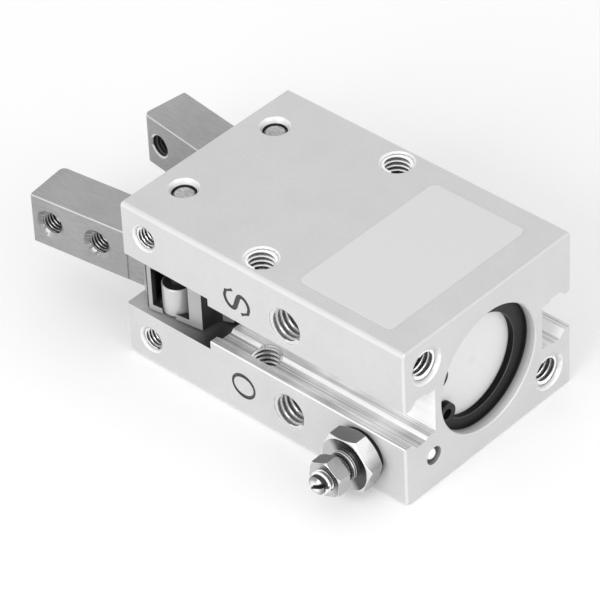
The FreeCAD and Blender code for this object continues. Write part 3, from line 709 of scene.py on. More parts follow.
def stand(obj: bpy.types.Object, mouth: Sequence[float], out: Sequence[float]) -> bpy.types.Object:
    """Stands a turned piece on a point, its +Z toward a direction.

    Args:
        obj: the piece.
        mouth: the point in millimetres.
        out: the direction.

    Returns:
        The piece.
    """
    obj.rotation_euler = aim(out)
    obj.location = Vector(mouth) * MM
    settle(obj)
    return obj


def sort_faces(obj: bpy.types.Object, materials: Sequence[bpy.types.Material], choose: Rule) -> None:
    """Gives each face one of the materials.

    Args:
        obj: the piece.
        materials: the materials.
        choose: picks a material's number from a face's centre in millimetres and its normal.
    """
    paint_with(obj, *materials)
    for face in obj.data.polygons:
        face.material_index = choose(face.center / MM, face.normal)


def cut(obj: bpy.types.Object, tool: bpy.types.Object) -> None:
    """Cuts a tool out of a piece, with the tool's materials on the new faces.

    Args:
        obj: the piece.
        tool: the tool, which is removed.
    """
    apply_modifier(obj, "BOOLEAN", operation="DIFFERENCE", object=tool, solver="EXACT",
                   material_mode="TRANSFER")
    bpy.data.objects.remove(tool)


def helix(thread: Thread, length: float, inner: bool, steps: int = 32) -> bpy.types.Object:
    """The ridge of a thread, wound about local +Z from the origin.

    Args:
        thread: the thread.
        length: length that the ridge fills.
        inner: True for a nut thread, whose ridge points to the axis.
        steps: faces around one turn.

    Returns:
        The ridge as a closed mesh.
    """
    root, crest = (thread.outer, thread.core) if inner else (thread.core, thread.outer)
    sink = 0.02 * MM if inner else -0.02 * MM
    root_share, crest_share = (0.45, 0.09) if inner else (0.40, 0.10)
    half_root, half_crest = thread.pitch * root_share, thread.pitch * crest_share
    if inner:
        turns = math.ceil(length / thread.pitch)
    else:
        turns = max(1, int((length - half_root * 2) / thread.pitch))
    ridge = added(bpy.ops.mesh.primitive_plane_add, size=1.0, location=(0, 0, 0))
    for vertex in ridge.data.vertices:
        at_crest = vertex.co.x > 0
        up = 1 if vertex.co.y > 0 else -1
        reach = crest if at_crest else root + sink
        vertex.co = (reach, 0, up * (half_crest if at_crest else half_root) + half_root)
    apply_modifier(ridge, "SCREW", axis="Z", screw_offset=thread.pitch, iterations=turns, steps=steps,
                   render_steps=steps, use_smooth_shade=True)
    in_edit(ridge, lambda: bpy.ops.mesh.fill_holes(sides=4))
    in_edit(ridge, lambda: bpy.ops.mesh.normals_make_consistent(inside=False))
    return ridge


def boring_tool(hole: tuple[float, float], mouth: tuple[float, float],
                materials: Sequence[bpy.types.Material], sides: int = 48) -> bpy.types.Object:
    """A turned tool that cuts a round hole with a coned mouth, its +Z out of the hole.

    Args:
        hole: radius and depth of the hole in millimetres.
        mouth: radius of the mouth at the surface and depth of its cone.
        materials: finishes of the hole and of its mouth.
        sides: faces around it.

    Returns:
        The tool, with its mouth at the origin.
    """
    (radius, depth), (wide, sink) = hole, mouth
    tool = turned([(radius, -depth), (radius, -sink), (wide, 0.0), (wide, ABOVE)], sides)
    sort_faces(tool, materials, lambda place, normal: int(place.z > -sink))
    return tool


@dataclass(frozen=True)
class TappedHole:
    """A threaded hole: its mouth, the way out of it, and where its thread runs, in millimetres."""

    thread: Thread
    mouth: tuple[float, float, float]
    out: tuple[float, float, float]
    depth: float
    sink: float = 0.5
    last: float = 0.0
    slope: float = 0.7
    shine: Shine = Shine.PLAIN
    spare: float = 0.014
    run_out: float = 0.03
    buried: float = 0.12

    def opening(self) -> float:
        """Radius of the countersink at the surface."""
        return self.thread.core / MM + self.sink

    def cone(self) -> float:
        """Depth of the countersink down to the thread's outer radius."""
        return max(0.02, (self.opening() - self.thread.outer / MM) * self.slope)

    def cutter(self, root: bpy.types.Material, rim: bpy.types.Material) -> bpy.types.Object:
        """A solid that opens the hole to the thread's outer radius and renews its countersink.

        Args:
            root: material of the thread's root, a painted shade.
            rim: material of the countersink.

        Returns:
            The solid in its place, with both materials.
        """
        tool = boring_tool((self.thread.outer / MM, self.depth), (self.opening() + self.spare, self.cone()),
                           (root, rim))
        return stand(tool, self.mouth, self.out)

    def ridge(self) -> bpy.types.Object:
        """The thread's ridge, its first turn run out under the countersink.

        Returns:
            The ridge in its place.
        """
        start = self.depth - self.last
        made = helix(self.thread, start * MM, inner=True)
        highest = (start - self.cone() - self.run_out) * MM
        for vertex in made.data.vertices:
            if vertex.co.z > highest:
                away = (self.thread.outer + self.buried * MM) / math.hypot(vertex.co.x, vertex.co.y)
                vertex.co = (vertex.co.x * away, vertex.co.y * away, highest)
        foot = Vector(self.mouth) - Vector(self.out).normalized() * start
        return stand(made, foot, self.out)


class Finishes:
    """The gripper's materials, each made once."""

    def __init__(self) -> None:
        """Makes the materials."""
        self.anodised()
        self.threads()
        self.steels()
        self.others()

    def anodised(self) -> None:
        """Makes the housing's finishes, with painted highlights, painted light and painted shade among them.
        """
        self.blasted = Finish("anodised_blasted", grey(0.62), metallic=0.3, roughness=0.5, spread=0.05,
                              tint=0.08, grain_size=0.16, relief=0.006).make()
        self.extruded = Finish("anodised_extruded", grey(0.62), metallic=0.3, roughness=0.36, spread=0.08,
                               tint=0.8, grain=(0.008, 1.0, 1.0), grain_size=0.15, relief=0.01).make()
        # Rounded outer edges and hole mouths: the anodising painted lighter, a painted highlight.
        self.edge = Finish("anodised_edge", grey(0.70), metallic=0.3, roughness=0.45, spread=0.05,
                           tint=0.06, relief=0.002).make()
        # Groove lip chamfers painted near white: a painted highlight line.
        self.lip = Finish("lip_painted_highlight", grey(0.98), metallic=0.1, roughness=0.3, spread=0.05,
                          tint=0.02, relief=0.002).make()
        # Sloped facets of the groove painted white: a painted highlight.
        self.ramp = Finish("anodised_ramp", grey(1.0), metallic=0.1, roughness=0.3, spread=0.05,
                           tint=0.05, grain=(0.01, 1.0, 1.0), grain_size=0.3, relief=0.002).make()
        # Core wall inside the groove painted near white to lift it out of the lips' shade: painted light.
        self.core = Finish("anodised_core", grey(0.97), metallic=0.1, roughness=0.4, spread=0.05,
                           tint=0.12, grain=(0.01, 1.0, 1.0), grain_size=0.25, relief=0.003).make()
        # Walls of the finger slot painted darker, fading to near black deeper in: painted shade.
        self.cavity = Finish("slot_painted_shade", grey(0.55), metallic=0.3, roughness=0.5, tint=0.12,
                             grain_size=0.2, relief=0.006,
                             changes=(Fade((1, 0, 0), -44.0, -33.0, grey(0.04)),)).make()
        # Rear recess wall painted darker toward the ring, with a near-black line at the ring's gap: painted
        # shade.
        self.recess = Finish("recess_painted_shade", grey(0.72), metallic=0.2, roughness=0.42, tint=0.16,
                             grain_size=0.14, changes=(Fade((1, 0, 0), -0.5, -1.75, grey(0.22)),
                                                       Fade((1, 0, 0), -1.3, -1.42, grey(0.02)))).make()
        # Near-black hole walls, thread roots and hidden flanks, also the roller's ends, the roller pins and
        # the needle's slot: painted shade.
        self.root = Finish("thread_root", grey(0.035), metallic=0.3, roughness=0.5, tint=0.2).make()

    def threads(self) -> None:
        """Makes the threads' flanks, roots and crests, by their shine: painted light on the flanks and
        painted shade on the roots and crests.
        """
        self.flanks, self.roots, self.crests = {}, {}, {}
        for shine in Shine:
            word, (flank, root, crest, metallic) = shine.name.lower(), shine.value
            self.flanks[shine] = Finish("thread_flank_%s" % word, grey(flank), metallic=metallic,
                                        roughness=0.22, tint=0.08, grain_size=0.08, relief=0.002).make()
            self.roots[shine] = Finish("thread_root_%s" % word, grey(root), metallic=0.1, roughness=0.5,
                                       tint=0.2).make()
            self.crests[shine] = Finish("thread_crest_%s" % word, grey(crest), metallic=0.1, roughness=0.3,
                                        tint=0.1, relief=0.002).make()

    def steels(self) -> None:
        """Makes steels, the needle thread's painted highlight, the ring's edges with painted shade and
        painted highlight, and the finishes of mouths and marks.
        """
        # Needle thread faces that look outward, painted near white: a painted highlight.
        self.bright = Finish("needle_thread_painted_highlight", grey(0.95), metallic=0.9, roughness=0.2, tint=0.05,
                             relief=0.002).make()
        # The ring's walls painted darker than its face: painted shade.
        self.ring_edge = Finish("blackened_edge", grey(0.005), metallic=0.0, roughness=0.5, tint=0.2,
                                specular=0.12, relief=0.003).make()
        # The ring's bevels painted grey: a painted highlight line.
        self.ring_line = Finish("ring_bevel_painted_highlight", grey(0.11), metallic=0.2, roughness=0.4, tint=0.2,
                                relief=0.003).make()
        self.rim = Finish("countersink", grey(0.86), metallic=0.25, roughness=0.35, tint=0.03,
                          grain_size=0.12, relief=0.0006).make()
        self.mark = Finish("filled_mark", grey(0.05), metallic=0.0, roughness=0.6, spread=0.1,
                           tint=0.15, grain_size=0.1, relief=0.004).make()
        self.pin = Finish("pin_steel", grey(0.42), metallic=0.95, roughness=0.28, spread=0.08, tint=0.1,
                          grain=(1.0, 1.0, 0.3), grain_size=0.1, relief=0.002).make()
        self.roller = Finish("roller_steel", grey(0.6), metallic=0.4, roughness=0.34, spread=0.04,
                             tint=0.06, grain=(1.0, 1.0, 0.15), grain_size=0.2, relief=0.0).make()

    def others(self) -> None:
        """Makes resin, rubber, blackened steel, the ball with its painted shade ring, label, magnet and
        bronze.
        """
        self.resin = Finish("white_resin", grey(0.77), metallic=0.0, roughness=0.42, spread=0.05, tint=0.02,
                            grain_size=0.35, relief=0.006,
                            changes=(Halo((0, 0, 0), "x", 0.45, grey(0.5), 0.3, True, 0.14),)).make()
        self.rubber = Finish("nitrile_rubber", grey(0.012), metallic=0.0, roughness=0.6, spread=0.1,
                             tint=0.2, grain_size=0.15, relief=0.004, specular=0.2).make()
        self.black = Finish("blackened_steel", grey(0.013), metallic=0.0, roughness=0.4, spread=0.1,
                            tint=0.2, grain_size=0.14, relief=0.004, specular=0.25).make()
        # Dark ring round the ball beyond 0.8 mm: painted shade where it sits in its seat.
        self.ball = Finish("bright_ball", grey(0.95), metallic=1.0, roughness=0.1, spread=0.03, tint=0.03,
                           relief=0.0, changes=(Halo((0, -10.2, -6.9), "x", 0.8, grey(0.05), 0.1),)).make()
        self.film = Finish("label_film", grey(0.70), metallic=0.0, roughness=0.4, spread=0.03, tint=0.012,
                           grain_size=0.4, cloud_size=9.0, relief=0.002).make()
        self.magnet = Finish("ferrite", grey(0.05), metallic=0.2, roughness=0.55, tint=0.2).make()
        self.bronze = Finish("sintered_bronze", (0.42, 0.25, 0.10), metallic=0.9, roughness=0.42, tint=0.1,
                             grain_size=0.2, relief=0.01).make()


@dataclass
class Housing:
    """The extruded housing with its tapped holes and port marks, sizes in millimetres."""

    finishes: Finishes
    length: float = 46.0
    side: float = 15.3
    top: float = 11.75
    slot_end: float = -31.7
    slot_half: float = 3.95
    groove_half: float = 3.7
    groove_floor: float = -3.65
    core: float = 9.85
    # The groove's lips are chamfered by four-sided bars of this radius, this far out from the lip's corner
    lip: float = 2.75
    lip_bar: float = 0.5
    lip_bar_out: float = 0.19
    # M4 holes above and below each groove, M4 holes in the rear face, M3 holes in the sides, and M5 ports
    jaw_hole: tuple[float, float] = (-25.1, 12.3)
    jaw_depth: float = 8.2
    rear_hole: tuple[float, float] = (11.2, 7.6)
    rear_depth: float = 7.4
    side_hole: tuple[float, float] = (-42.1, 7.95)
    side_depth: float = 4.4
    port_x: float = -18.9
    port_heights: tuple[float, float] = (6.3, -7.0)
    port_depth: float = 4.3
    # Radius and depth of each plain hole and of its coned mouth
    recess: tuple[float, float] = (8.62, 1.69)
    recess_mouth: tuple[float, float] = (8.77, 0.15)
    recess_sides: int = 128
    ball: tuple[float, float] = (-10.2, -6.9)
    ball_seat: tuple[float, float] = (1.26, 2.0)
    ball_mouth: tuple[float, float] = (1.30, 0.04)
    pin: tuple[float, float] = (-41.8, 8.2)
    pin_hole: tuple[float, float] = (1.62, 1.25)
    pin_mouth: tuple[float, float] = (2.02, 0.72)
    letter_s_at: tuple[float, float] = (-26.7, 6.0)
    letter_o_at: tuple[float, float] = (-26.35, -7.0)
    stroke: float = 0.6

    def holes(self) -> list[TappedHole]:
        """Places the tapped holes.

        Returns:
            The holes of each side in turn, and the two ports last.
        """
        made = []
        for sign in (-1, 1):
            x, y = self.jaw_hole[0], self.jaw_hole[1] * sign
            made.append(TappedHole(M4, (x, y, self.top), (0, 0, 1), self.jaw_depth, sink=0.65, last=0.15,
                                   shine=Shine.BRIGHT))
            made.append(TappedHole(M4, (x, y, self.groove_floor), (0, 0, 1), self.jaw_depth, sink=0.35,
                                   last=0.45, shine=Shine.BRIGHT))
            made.append(TappedHole(M4, (0, self.rear_hole[0] * sign, -self.rear_hole[1] * sign), (1, 0, 0),
                                   self.rear_depth, sink=0.95, shine=Shine.BRIGHT))
            for up in (-1, 1):
                made.append(TappedHole(M3, (self.side_hole[0], self.side * sign, self.side_hole[1] * up),
                                       (0, sign, 0), self.side_depth, sink=0.65, shine=Shine.BRIGHT))
        for height in self.port_heights:
            made.append(TappedHole(M5, (self.port_x, -self.side, height), (0, -1, 0), self.port_depth,
                                   sink=0.45))
        return made

    def zone(self, place: Vector, normal: Vector) -> HousingFace:
        """Picks the finish of a face, with the painted highlight of edges and ramps, the painted light of the
        core wall and the painted shade of the slot.

        Args:
            place: the face's centre in millimetres.
            normal: its normal.

        Returns:
            The finish.
        """
        rounding, front, skin = 0.7, 0.4, 0.1
        slant, ramp, square = 0.2, 0.3, 0.9
        along, aside, up = (abs(value) for value in normal)
        inside = abs(place.y) < self.side - NEAR
        if inside and place.x < self.slot_end + NEAR and abs(place.z) < self.slot_half + NEAR:
            return HousingFace.SLOT if place.x > -self.length + front else HousingFace.BLASTED
        if inside and abs(place.y) > self.core - skin and abs(place.z) < self.groove_half:
            if min(aside, up) > ramp:
                return HousingFace.RAMP
            return HousingFace.CORE if aside > square else HousingFace.EXTRUDED
        slanted = sorted((along, aside, up))[1] > slant
        outer = abs(place.y) > self.side - rounding or abs(place.z) > self.top - rounding
        return HousingFace.EDGE if slanted and outer else HousingFace.BLASTED

    def letter_o(self) -> bpy.types.Object:
        """The round port mark, thin at its ends and thicker at its sides.

        Returns:
            The mark as a low ring at the origin.
        """
        outer, inner = (1.96, 1.86), (1.62, 1.30)
        ring = added(bpy.ops.mesh.primitive_circle_add, vertices=64, radius=1.0, fill_type="NOTHING",
                     location=(0, 0, -MARK_DEPTH * MM))
        ring.scale = (outer[0] * MM, outer[1] * MM, 1)
        settle(ring)

        def thicken() -> None:
            """Draws the outline inward, joins both outlines and gives the ring its height."""
            bpy.ops.mesh.duplicate()
            bpy.ops.transform.resize(value=(inner[0] / outer[0], inner[1] / outer[1], 1))
            bpy.ops.mesh.select_all(action="SELECT")
            bpy.ops.mesh.bridge_edge_loops()
            raise_flat()

        in_edit(ring, thicken)
        return ring

    def stroke_of(self, path: Sequence[tuple[float, float]], wide: Sequence[float]) -> bpy.types.Object:
        """A flat stroke along a smooth path through its points, as a low solid.

        Args:
            path: points of the path in millimetres.
            wide: the stroke's width at each point.

        Returns:
            The solid at the origin.
        """
        steps = 10
        points = [Vector((*p, w)) for p, w in zip(path, wide)]
        ends = [points[0] * 2 - points[1], *points, points[-1] * 2 - points[-2]]
        line = []
        for number in range((len(points) - 1) * steps + 1):
            start = min(number // steps, len(points) - 2)
            t = number / steps - start
            a, b, c, d = ends[start:start + 4]
            line.append((b * 2 + (c - a) * t + (a * 2 - b * 5 + c * 4 - d) * t * t
                         + (b * 3 - a - c * 3 + d) * t ** 3) / 2)
        sheet = added(bpy.ops.mesh.primitive_grid_add, x_subdivisions=len(line) - 1, y_subdivisions=1,
                      size=2.0)
        for vertex in sheet.data.vertices:
            number = round((vertex.co.x + 1) / 2 * (len(line) - 1))
            ahead = line[min(number + 1, len(line) - 1)] - line[max(number - 1, 0)]
            across = Vector((-ahead.y, ahead.x)).normalized() * line[number].z / 2
            up = 1 if vertex.co.y > 0 else -1
            x, y = line[number].x + across.x * up, line[number].y + across.y * up
            vertex.co = Vector((x, y, -MARK_DEPTH)) * MM
        in_edit(sheet, raise_flat)
        return sheet

    def letter_s(self) -> list[bpy.types.Object]:
        """The other port mark: a curved stroke that swells in its middle, with two end bars.

        Returns:
            The stroke and its bars at the origin.
        """
        half = ((0.0, 0.0, 1.2), (0.36, 0.92, 1.15), (0.85, 1.17, 0.92), (1.38, 0.94, 0.86),
                (1.8, 0.42, 0.84), (1.97, -0.25, 0.8), (1.8, -0.95, 0.7))
        bar, bar_wide = ((1.95, -0.92), (1.3, -1.24), (0.68, -1.56)), (0.46, 0.32, 0.46)
        points = [(-x, -y, wide) for x, y, wide in reversed(half[1:])] + list(half)
        curve = self.stroke_of([(x, y) for x, y, _ in points], [wide * self.stroke for _, _, wide in points])
        bars = [self.stroke_of([(x * way, y * way) for x, y in bar], bar_wide) for way in (1, -1)]
        return [curve, *bars]

    def marks(self) -> list[bpy.types.Object]:
        """Both port marks, sunk into the housing's left side.

        Returns:
            The solids that cut them.
        """
        placed = [(piece, self.letter_s_at) for piece in self.letter_s()]
        placed.append((self.letter_o(), self.letter_o_at))
        for piece, (x, z) in placed:
            paint_with(piece, self.finishes.mark)
            piece.rotation_euler = (math.radians(90), 0, 0)
            piece.location = Vector((x, -self.side, z)) * MM
            settle(piece)
        return [piece for piece, _ in placed]

    def tools(self, holes: Sequence[TappedHole]) -> list[bpy.types.Object]:
        """The solids that open the holes, the rear recess, the ball's seat, the lips and the pins' mouths.

        Args:
            holes: the tapped holes.

        Returns:
            The solids in their places.
        """
        f = self.finishes
        made = [hole.cutter(f.roots[hole.shine], f.extruded if hole.mouth[2] == self.groove_floor else f.rim)
                for hole in holes]
        # The recess wall carries painted shade, its mouth the edge's painted highlight.
        recess = boring_tool(self.recess, self.recess_mouth, (f.recess, f.edge), self.recess_sides)
        made.append(stand(recess, (0, 0, 0), (1, 0, 0)))
        # The ball's seat wall is painted grey as shade, its mouth with the edge's painted highlight.
        seat = boring_tool(self.ball_seat, self.ball_mouth, (f.roots[Shine.PLAIN], f.edge))
        made.append(stand(seat, (0, *self.ball), (1, 0, 0)))
        past = 0.5
        # Bars that chamfer the groove's lips, carrying the lip's painted highlight.
        for sign, up in itertools.product((-1, 1), repeat=2):
            start = Vector((self.slot_end - past, (self.side + self.lip_bar_out) * sign,
                            (self.lip - self.lip_bar_out) * up)) * MM
            bar = cylinder(self.lip_bar * MM, start, Vector((1, 0, 0)), (2 * past - self.slot_end) * MM, 4)
            paint_with(bar, f.lip)
            made.append(bar)
        for sign, up in itertools.product((-1, 1), repeat=2):
            # Pin mouths' walls take the root's painted shade.
            mouth = boring_tool(self.pin_hole, self.pin_mouth, (f.root, f.rim))
            made.append(stand(mouth, (self.pin[0], self.pin[1] * sign, self.top * up), (0, 0, up)))
        return made

    def dress(self) -> None:
        """Cuts the marks, the holes and their mouths into the housing and adds its threads."""
        f = self.finishes
        own = (f.blasted, f.extruded, f.edge, f.cavity, f.ramp, f.core)
        shell = copy_of("body_housing", "housing_dressed")
        sort_faces(shell, own, self.zone)
        for mark in self.marks():
            cut(shell, mark)
        holes = self.holes()
        cut(shell, join("housing_tool", self.tools(holes)))
        smooth(shell, own=len(own))
        apply_modifier(shell, "TRIANGULATE", min_vertices=5, ngon_method="BEAUTY", keep_custom_normals=True)
        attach(shell, "housing")
        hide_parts("body_housing")
        threads = join("housing_threads", [thread_of(hole, f) for hole in holes])
        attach(threads, "housing")
        log.info("housing with %d tapped holes and its marks", len(holes))


def thread_of(hole: TappedHole, finishes: Finishes) -> bpy.types.Object:
    """The ridge of a hole's thread with its three tones of painted light and shade.

    Args:
        hole: the hole.
        finishes: the gripper's finishes.

    Returns:
        The ridge, painted and smoothed.
    """
    ridge = hole.ridge()
    out = Vector(hole.out).normalized()

    def choose(place: Vector, normal: Vector) -> int:
        """Sorts a face of the ridge by the way that it faces, for its painted light or shade.

        Args:
            place: the face's centre in millimetres.
            normal: its normal.

        Returns:
            0 for the flank toward the mouth (painted light), 1 for the crest and 2 for the hidden flank and
            the root, both painted shade.
        """
        level = 0.35
        rise = normal.dot(out)
        if abs(rise) < level:
            middle = Vector(hole.mouth) + out * (place - Vector(hole.mouth)).dot(out)
            return 1 if normal.dot(middle - place) > 0 else 2
        return 0 if rise > 0 else 2

    sort_faces(ridge, (finishes.flanks[hole.shine], finishes.crests[hole.shine], finishes.root), choose)
    smooth(ridge, RIDGE_ANGLE)
    return ridge


@dataclass
class Finger:
    """One finger with its two tapped holes and the pocket of its roller, sizes in millimetres."""

    finishes: Finishes
    side: Side
    pivot_x: float = -41.8
    pivot_y: float = 8.2
    angle: float = 7.3
    places: tuple[float, float] = (-19.4, -12.0)
    outer_face: float = -3.1
    through: float = 6.85
    flange: float = 2.95
    bar_end: float = -5.0
    # The pocket along the finger and across it, and where the tail starts behind it
    pocket: tuple[float, float] = (-2.6, 4.48)
    pocket_across: tuple[float, float] = (-6.2, -1.6)
    tail: float = 4.3

    def out_of(self, along: float, across: float) -> tuple[float, float, float]:
        """A point of the finger's own frame, in the gripper's frame.

        Args:
            along: distance toward the rear.
            across: distance toward the other finger.

        Returns:
            The point in millimetres.
        """
        turn = math.radians(self.angle)
        x = along * math.cos(turn) - across * math.sin(turn)
        y = along * math.sin(turn) + across * math.cos(turn)
        return (self.pivot_x + x, (y - self.pivot_y) * -self.side.value, 0.0)

    def own(self, place: Vector) -> tuple[float, float]:
        """A place of the gripper's frame in the finger's own frame.

        Args:
            place: the place in millimetres.

        Returns:
            Its distances along and across, as out_of counts them.
        """
        turn = math.radians(self.angle)
        x, y = place.x - self.pivot_x, self.pivot_y - place.y * self.side.value
        return (x * math.cos(turn) + y * math.sin(turn), y * math.cos(turn) - x * math.sin(turn))

    def zone(self, place: Vector, normal: Vector) -> FingerFace:
        """Picks the finish of a face, with its painted highlight or painted shade.

        Args:
            place: the face's centre in millimetres.
            normal: its normal.

        Returns:
            The finish.
        """
        above, slot_end, facing = 0.25, 4.0, 0.6
        slant, level, square = 0.2, 0.5, 0.95
        along, across = self.own(place)
        if along < self.bar_end or abs(place.z) > self.flange + above:
            if slant < abs(normal.z) < square:
                return FingerFace.EDGE
            return FingerFace.BAR if abs(normal.z) > level else FingerFace.SIDE
        # Faces toward the rear behind the pocket take the pocket's painted shade.
        if along > slot_end and normal.x > facing:
            return FingerFace.POCKET
        within = self.pocket[0] < along < self.pocket[1]
        between = self.pocket_across[0] + NEAR < across < self.pocket_across[1]
        if within and between and abs(place.z) < self.flange:
            return FingerFace.POCKET
        return FingerFace.TAIL if along > self.tail else FingerFace.HUB

    def faces(self, word: str) -> list[bpy.types.Material]:
        """The finishes of the finger's own faces, in the order of FingerFace, with painted highlight on its
        edges and painted shade on its sides and in its pocket.

        Args:
            word: the finger's side, for their names.

        Returns:
            The materials.
        """
        ground = {"metallic": 0.25, "roughness": 0.42, "spread": 0.12, "tint": 0.22, "relief": 0.008,
                  "grain": (0.08, 1.0, 1.0), "turn": math.radians(self.angle) * self.side.value,
                  "grain_size": 0.16}
        looks = (Finish("ground_steel_%s" % word, grey(0.36), **ground),
                 Finish("finger_edge_%s" % word, grey(0.66), metallic=0.5, roughness=0.3, tint=0.1),
                 Finish("hub_steel_%s" % word, grey(0.43), metallic=0.5, roughness=0.36, tint=0.12,
                        grain_size=0.1),
                 Finish("pocket_%s" % word, grey(0.03), metallic=0.3, roughness=0.5, tint=0.2),
                 Finish("hub_tail_%s" % word, grey(0.34), metallic=0.5, roughness=0.36, tint=0.16,
                        grain_size=0.1),
                 Finish("ground_side_%s" % word, grey(0.31), **ground))
        return [look.make() for look in looks]

    def dress(self) -> None:
        """Cuts the threads into the finger and gives its faces their finishes."""
        f = self.finishes
        word = self.side.name.lower()
        rim = Finish("finger_mouth_%s" % word, grey(0.36), metallic=0.4, roughness=0.3, tint=0.3,
                     grain_size=0.09).make()
        blank = copy_of("%s_finger" % word, "%s_finger_dressed" % word)
        sort_faces(blank, self.faces(word), self.zone)
        outward = tuple(Vector(self.out_of(0, -1)) - Vector(self.out_of(0, 0)))
        holes = [TappedHole(M3, self.out_of(place, self.outer_face), outward, self.through, sink=0.85,
                            last=0.3, shine=Shine.DULL) for place in self.places]
        cut(blank, join("finger_tool", [hole.cutter(f.roots[hole.shine], rim) for hole in holes]))
        smooth(blank)
        made = join(blank.name, [blank, *[thread_of(hole, f) for hole in holes]])
        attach(made, "%s_finger" % word)
        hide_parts("%s_finger" % word)
        log.info("%s finger", word)


@dataclass
class NeedleValve:
    """The speed controller: gland, lock nut and the threaded needle, sizes in millimetres."""

    finishes: Finishes
    place: tuple[float, float] = (-7.0, -6.7)
    side: float = 15.3
    start: float = -15.25
    end: float = -23.2
    thread: Thread = Thread(1.5 * MM, 1.24 * MM, 0.5 * MM)
    rounding: float = 0.04
    boss: float = 2.05
    # The boss turns dark, bright and dark again at these places, with these tones: bands of painted shade and
    # painted highlight
    bands: tuple[tuple[float, float], ...] = ((-18.52, 0.04), (-18.66, 0.8), (-18.88, 0.05))
    band_change: float = 0.04
    # An upper right facet brighter than glance_from fades toward the lower right, a painted highlight
    glance: Fade = Fade((0.62, 0, -0.78), 1.1, 2.6, grey(0.34))
    glance_from: float = 0.7
    neck: float = 4.0
    neck_spare: float = 0.35
    run_out: float = 0.3

    def off_axis(self, place: Vector) -> float:
        """Distance of a place from the needle's axis."""
        return math.hypot(place.x - self.place[0], place.z - self.place[1])

    def zone(self, place: Vector, normal: Vector) -> NutFace:
        """Picks the finish of a hexagon's face by the way it faces, for its painted light or shade.

        Args:
            place: the face's centre in millimetres.
            normal: its normal.

        Returns:
            The finish.
        """
        front, wall, chamfer = 0.93, 0.9, 0.25
        low, middle, high = 15, 75, 135
        steep = abs(normal.y)
        if self.off_axis(place) < self.boss and steep < wall:
            return NutFace.BOSS
        if steep > front:
            return NutFace.FRONT
        if steep > chamfer:
            return NutFace.CHAMFER
        angle = math.degrees(math.atan2(normal.z, normal.x))
        if middle < angle < high:
            return NutFace.TOP
        return NutFace.RIGHT if low < angle <= middle else NutFace.LOW

    def facet(self, name: str, tone: float, right: bool) -> bpy.types.Material:
        """The finish of a facet or of the chamfer, with a tone of painted light or shade.

        Args:
            name: the material's name.
            tone: its tone, painted lighter or darker by the way the facet faces.
            right: True for the upper right facet, which has no grain and can fade as a painted highlight.

        Returns:
            The material.
        """
        look = {"tint": 0.1, "grain": (1.0, 0.2, 1.0)}
        if right:
            look = {"tint": 0.08, "changes": (self.glance,) if tone > self.glance_from else ()}
        return Finish(name, grey(tone), metallic=0.9, roughness=0.22, grain_size=0.1, relief=0.003,
                      **look).make()

    def nut(self, node: str, tones: Sequence[float], fade: Fade) -> None:
        """Dresses a hexagon.

        Args:
            node: its CAD node.
            tones: tone of its upper facet, its upper right facet, the other facets and the chamfer, as
                painted light and shade.
            fade: painted reflection across its turned front face, darker on one side.
        """
        facets = [self.facet("%s_%s" % (node, face.name.lower()), tone, face is NutFace.RIGHT)
                  for face, tone in zip(NutFace, tones)]
        centre = (self.place[0], -self.side, self.place[1])
        front = TurnedFinish("%s_front" % node, grey(0.56), centre, "y", roughness=0.26, pitch=0.07,
                             tint=0.12, changes=(fade,)).make()
        bands = tuple(Fade((0, 1, 0), y, y - self.band_change, grey(tone)) for y, tone in self.bands)
        boss = Finish("%s_boss" % node, grey(0.78), metallic=0.5, roughness=0.25, tint=0.08,
                      changes=bands).make()
        nut = copy_of(node, "%s_dressed" % node)
        soften(nut, self.rounding * MM)
        sort_faces(nut, (*facets, front, boss), self.zone)
        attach(nut, "housing")
        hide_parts(node)
        log.info("%s", node)

    def needle(self) -> None:
        """Makes the threaded needle with its rounded, slotted end."""
        f = self.finishes
        x, z = self.place
        # The dome painted bright at its centre and grey beyond: a painted highlight.
        shine = Finish("needle_end", grey(0.9), metallic=0.8, roughness=0.2, tint=0.05,
                       changes=(Halo((x, 0, z), "y", 0.55, grey(0.3), 0.5),)).make()
        stem = copy_of("adjusting_needle", "needle_stem")
        out = Vector((0, -1, 0))
        span = self.start - self.end + self.neck_spare
        neck = cylinder(self.neck * MM, Vector((x, self.start, z)) * MM, out, span * MM)
        bore = cylinder(self.thread.core, Vector((x, self.start + 1, z)) * MM, out, (span + 2) * MM, 40)
        cut(neck, bore)
        cut(stem, neck)
        soften(stem, self.rounding * MM)

        def choose(place: Vector, normal: Vector) -> int:
            """Sorts a face of the stem by its place.

            Args:
                place: the face's centre in millimetres.
                normal: its normal.

            Returns:
                0 for the end, painted bright as a highlight, 1 for the root of the thread and the slot,
                painted shade.
            """
            tip, slot, wall = 0.05, 1.1, 0.3
            reach = self.off_axis(place)
            if place.y > self.end - tip:
                return int(reach < self.thread.core / MM + NEAR)
            return int(reach < slot and abs(normal.y) < wall)

        sort_faces(stem, (shine, f.root), choose)
        ridge = helix(self.thread, (span - self.run_out) * MM, inner=False)
        stand(ridge, (x, self.start, z), out)
        # Ridge faces toward the housing take the dull flank's painted shade, the others the painted
        # highlight.
        toward = 0.3
        sort_faces(ridge, (f.flanks[Shine.DULL], f.bright), lambda place, normal: int(normal.y < toward))
        smooth(ridge, RIDGE_ANGLE)
        made = join("needle_dressed", [stem, ridge])
        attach(made, "needle")
        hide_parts("adjusting_needle")
        log.info("needle")

    def dress(self) -> None:
        """Dresses the whole valve."""
        # The turned front faces darken toward the upper right: a painted reflection.
        turn = math.radians(35)
        toward = (math.cos(turn), 0.0, math.sin(turn))
        middle = self.place[0] * toward[0] + self.place[1] * toward[2]
        # Facet tones of painted light and shade for the gland, then for the lock nut.
        self.nut("needle_gland", (0.27, 0.84, 0.42, 0.8),
                 Fade(toward, middle - 0.6, middle + 0.5, grey(0.10)))
        self.nut("lock_nut", (0.17, 0.42, 0.5, 0.75),
                 Fade(toward, middle + 0.3, middle + 2.2, grey(0.12)))
        self.needle()


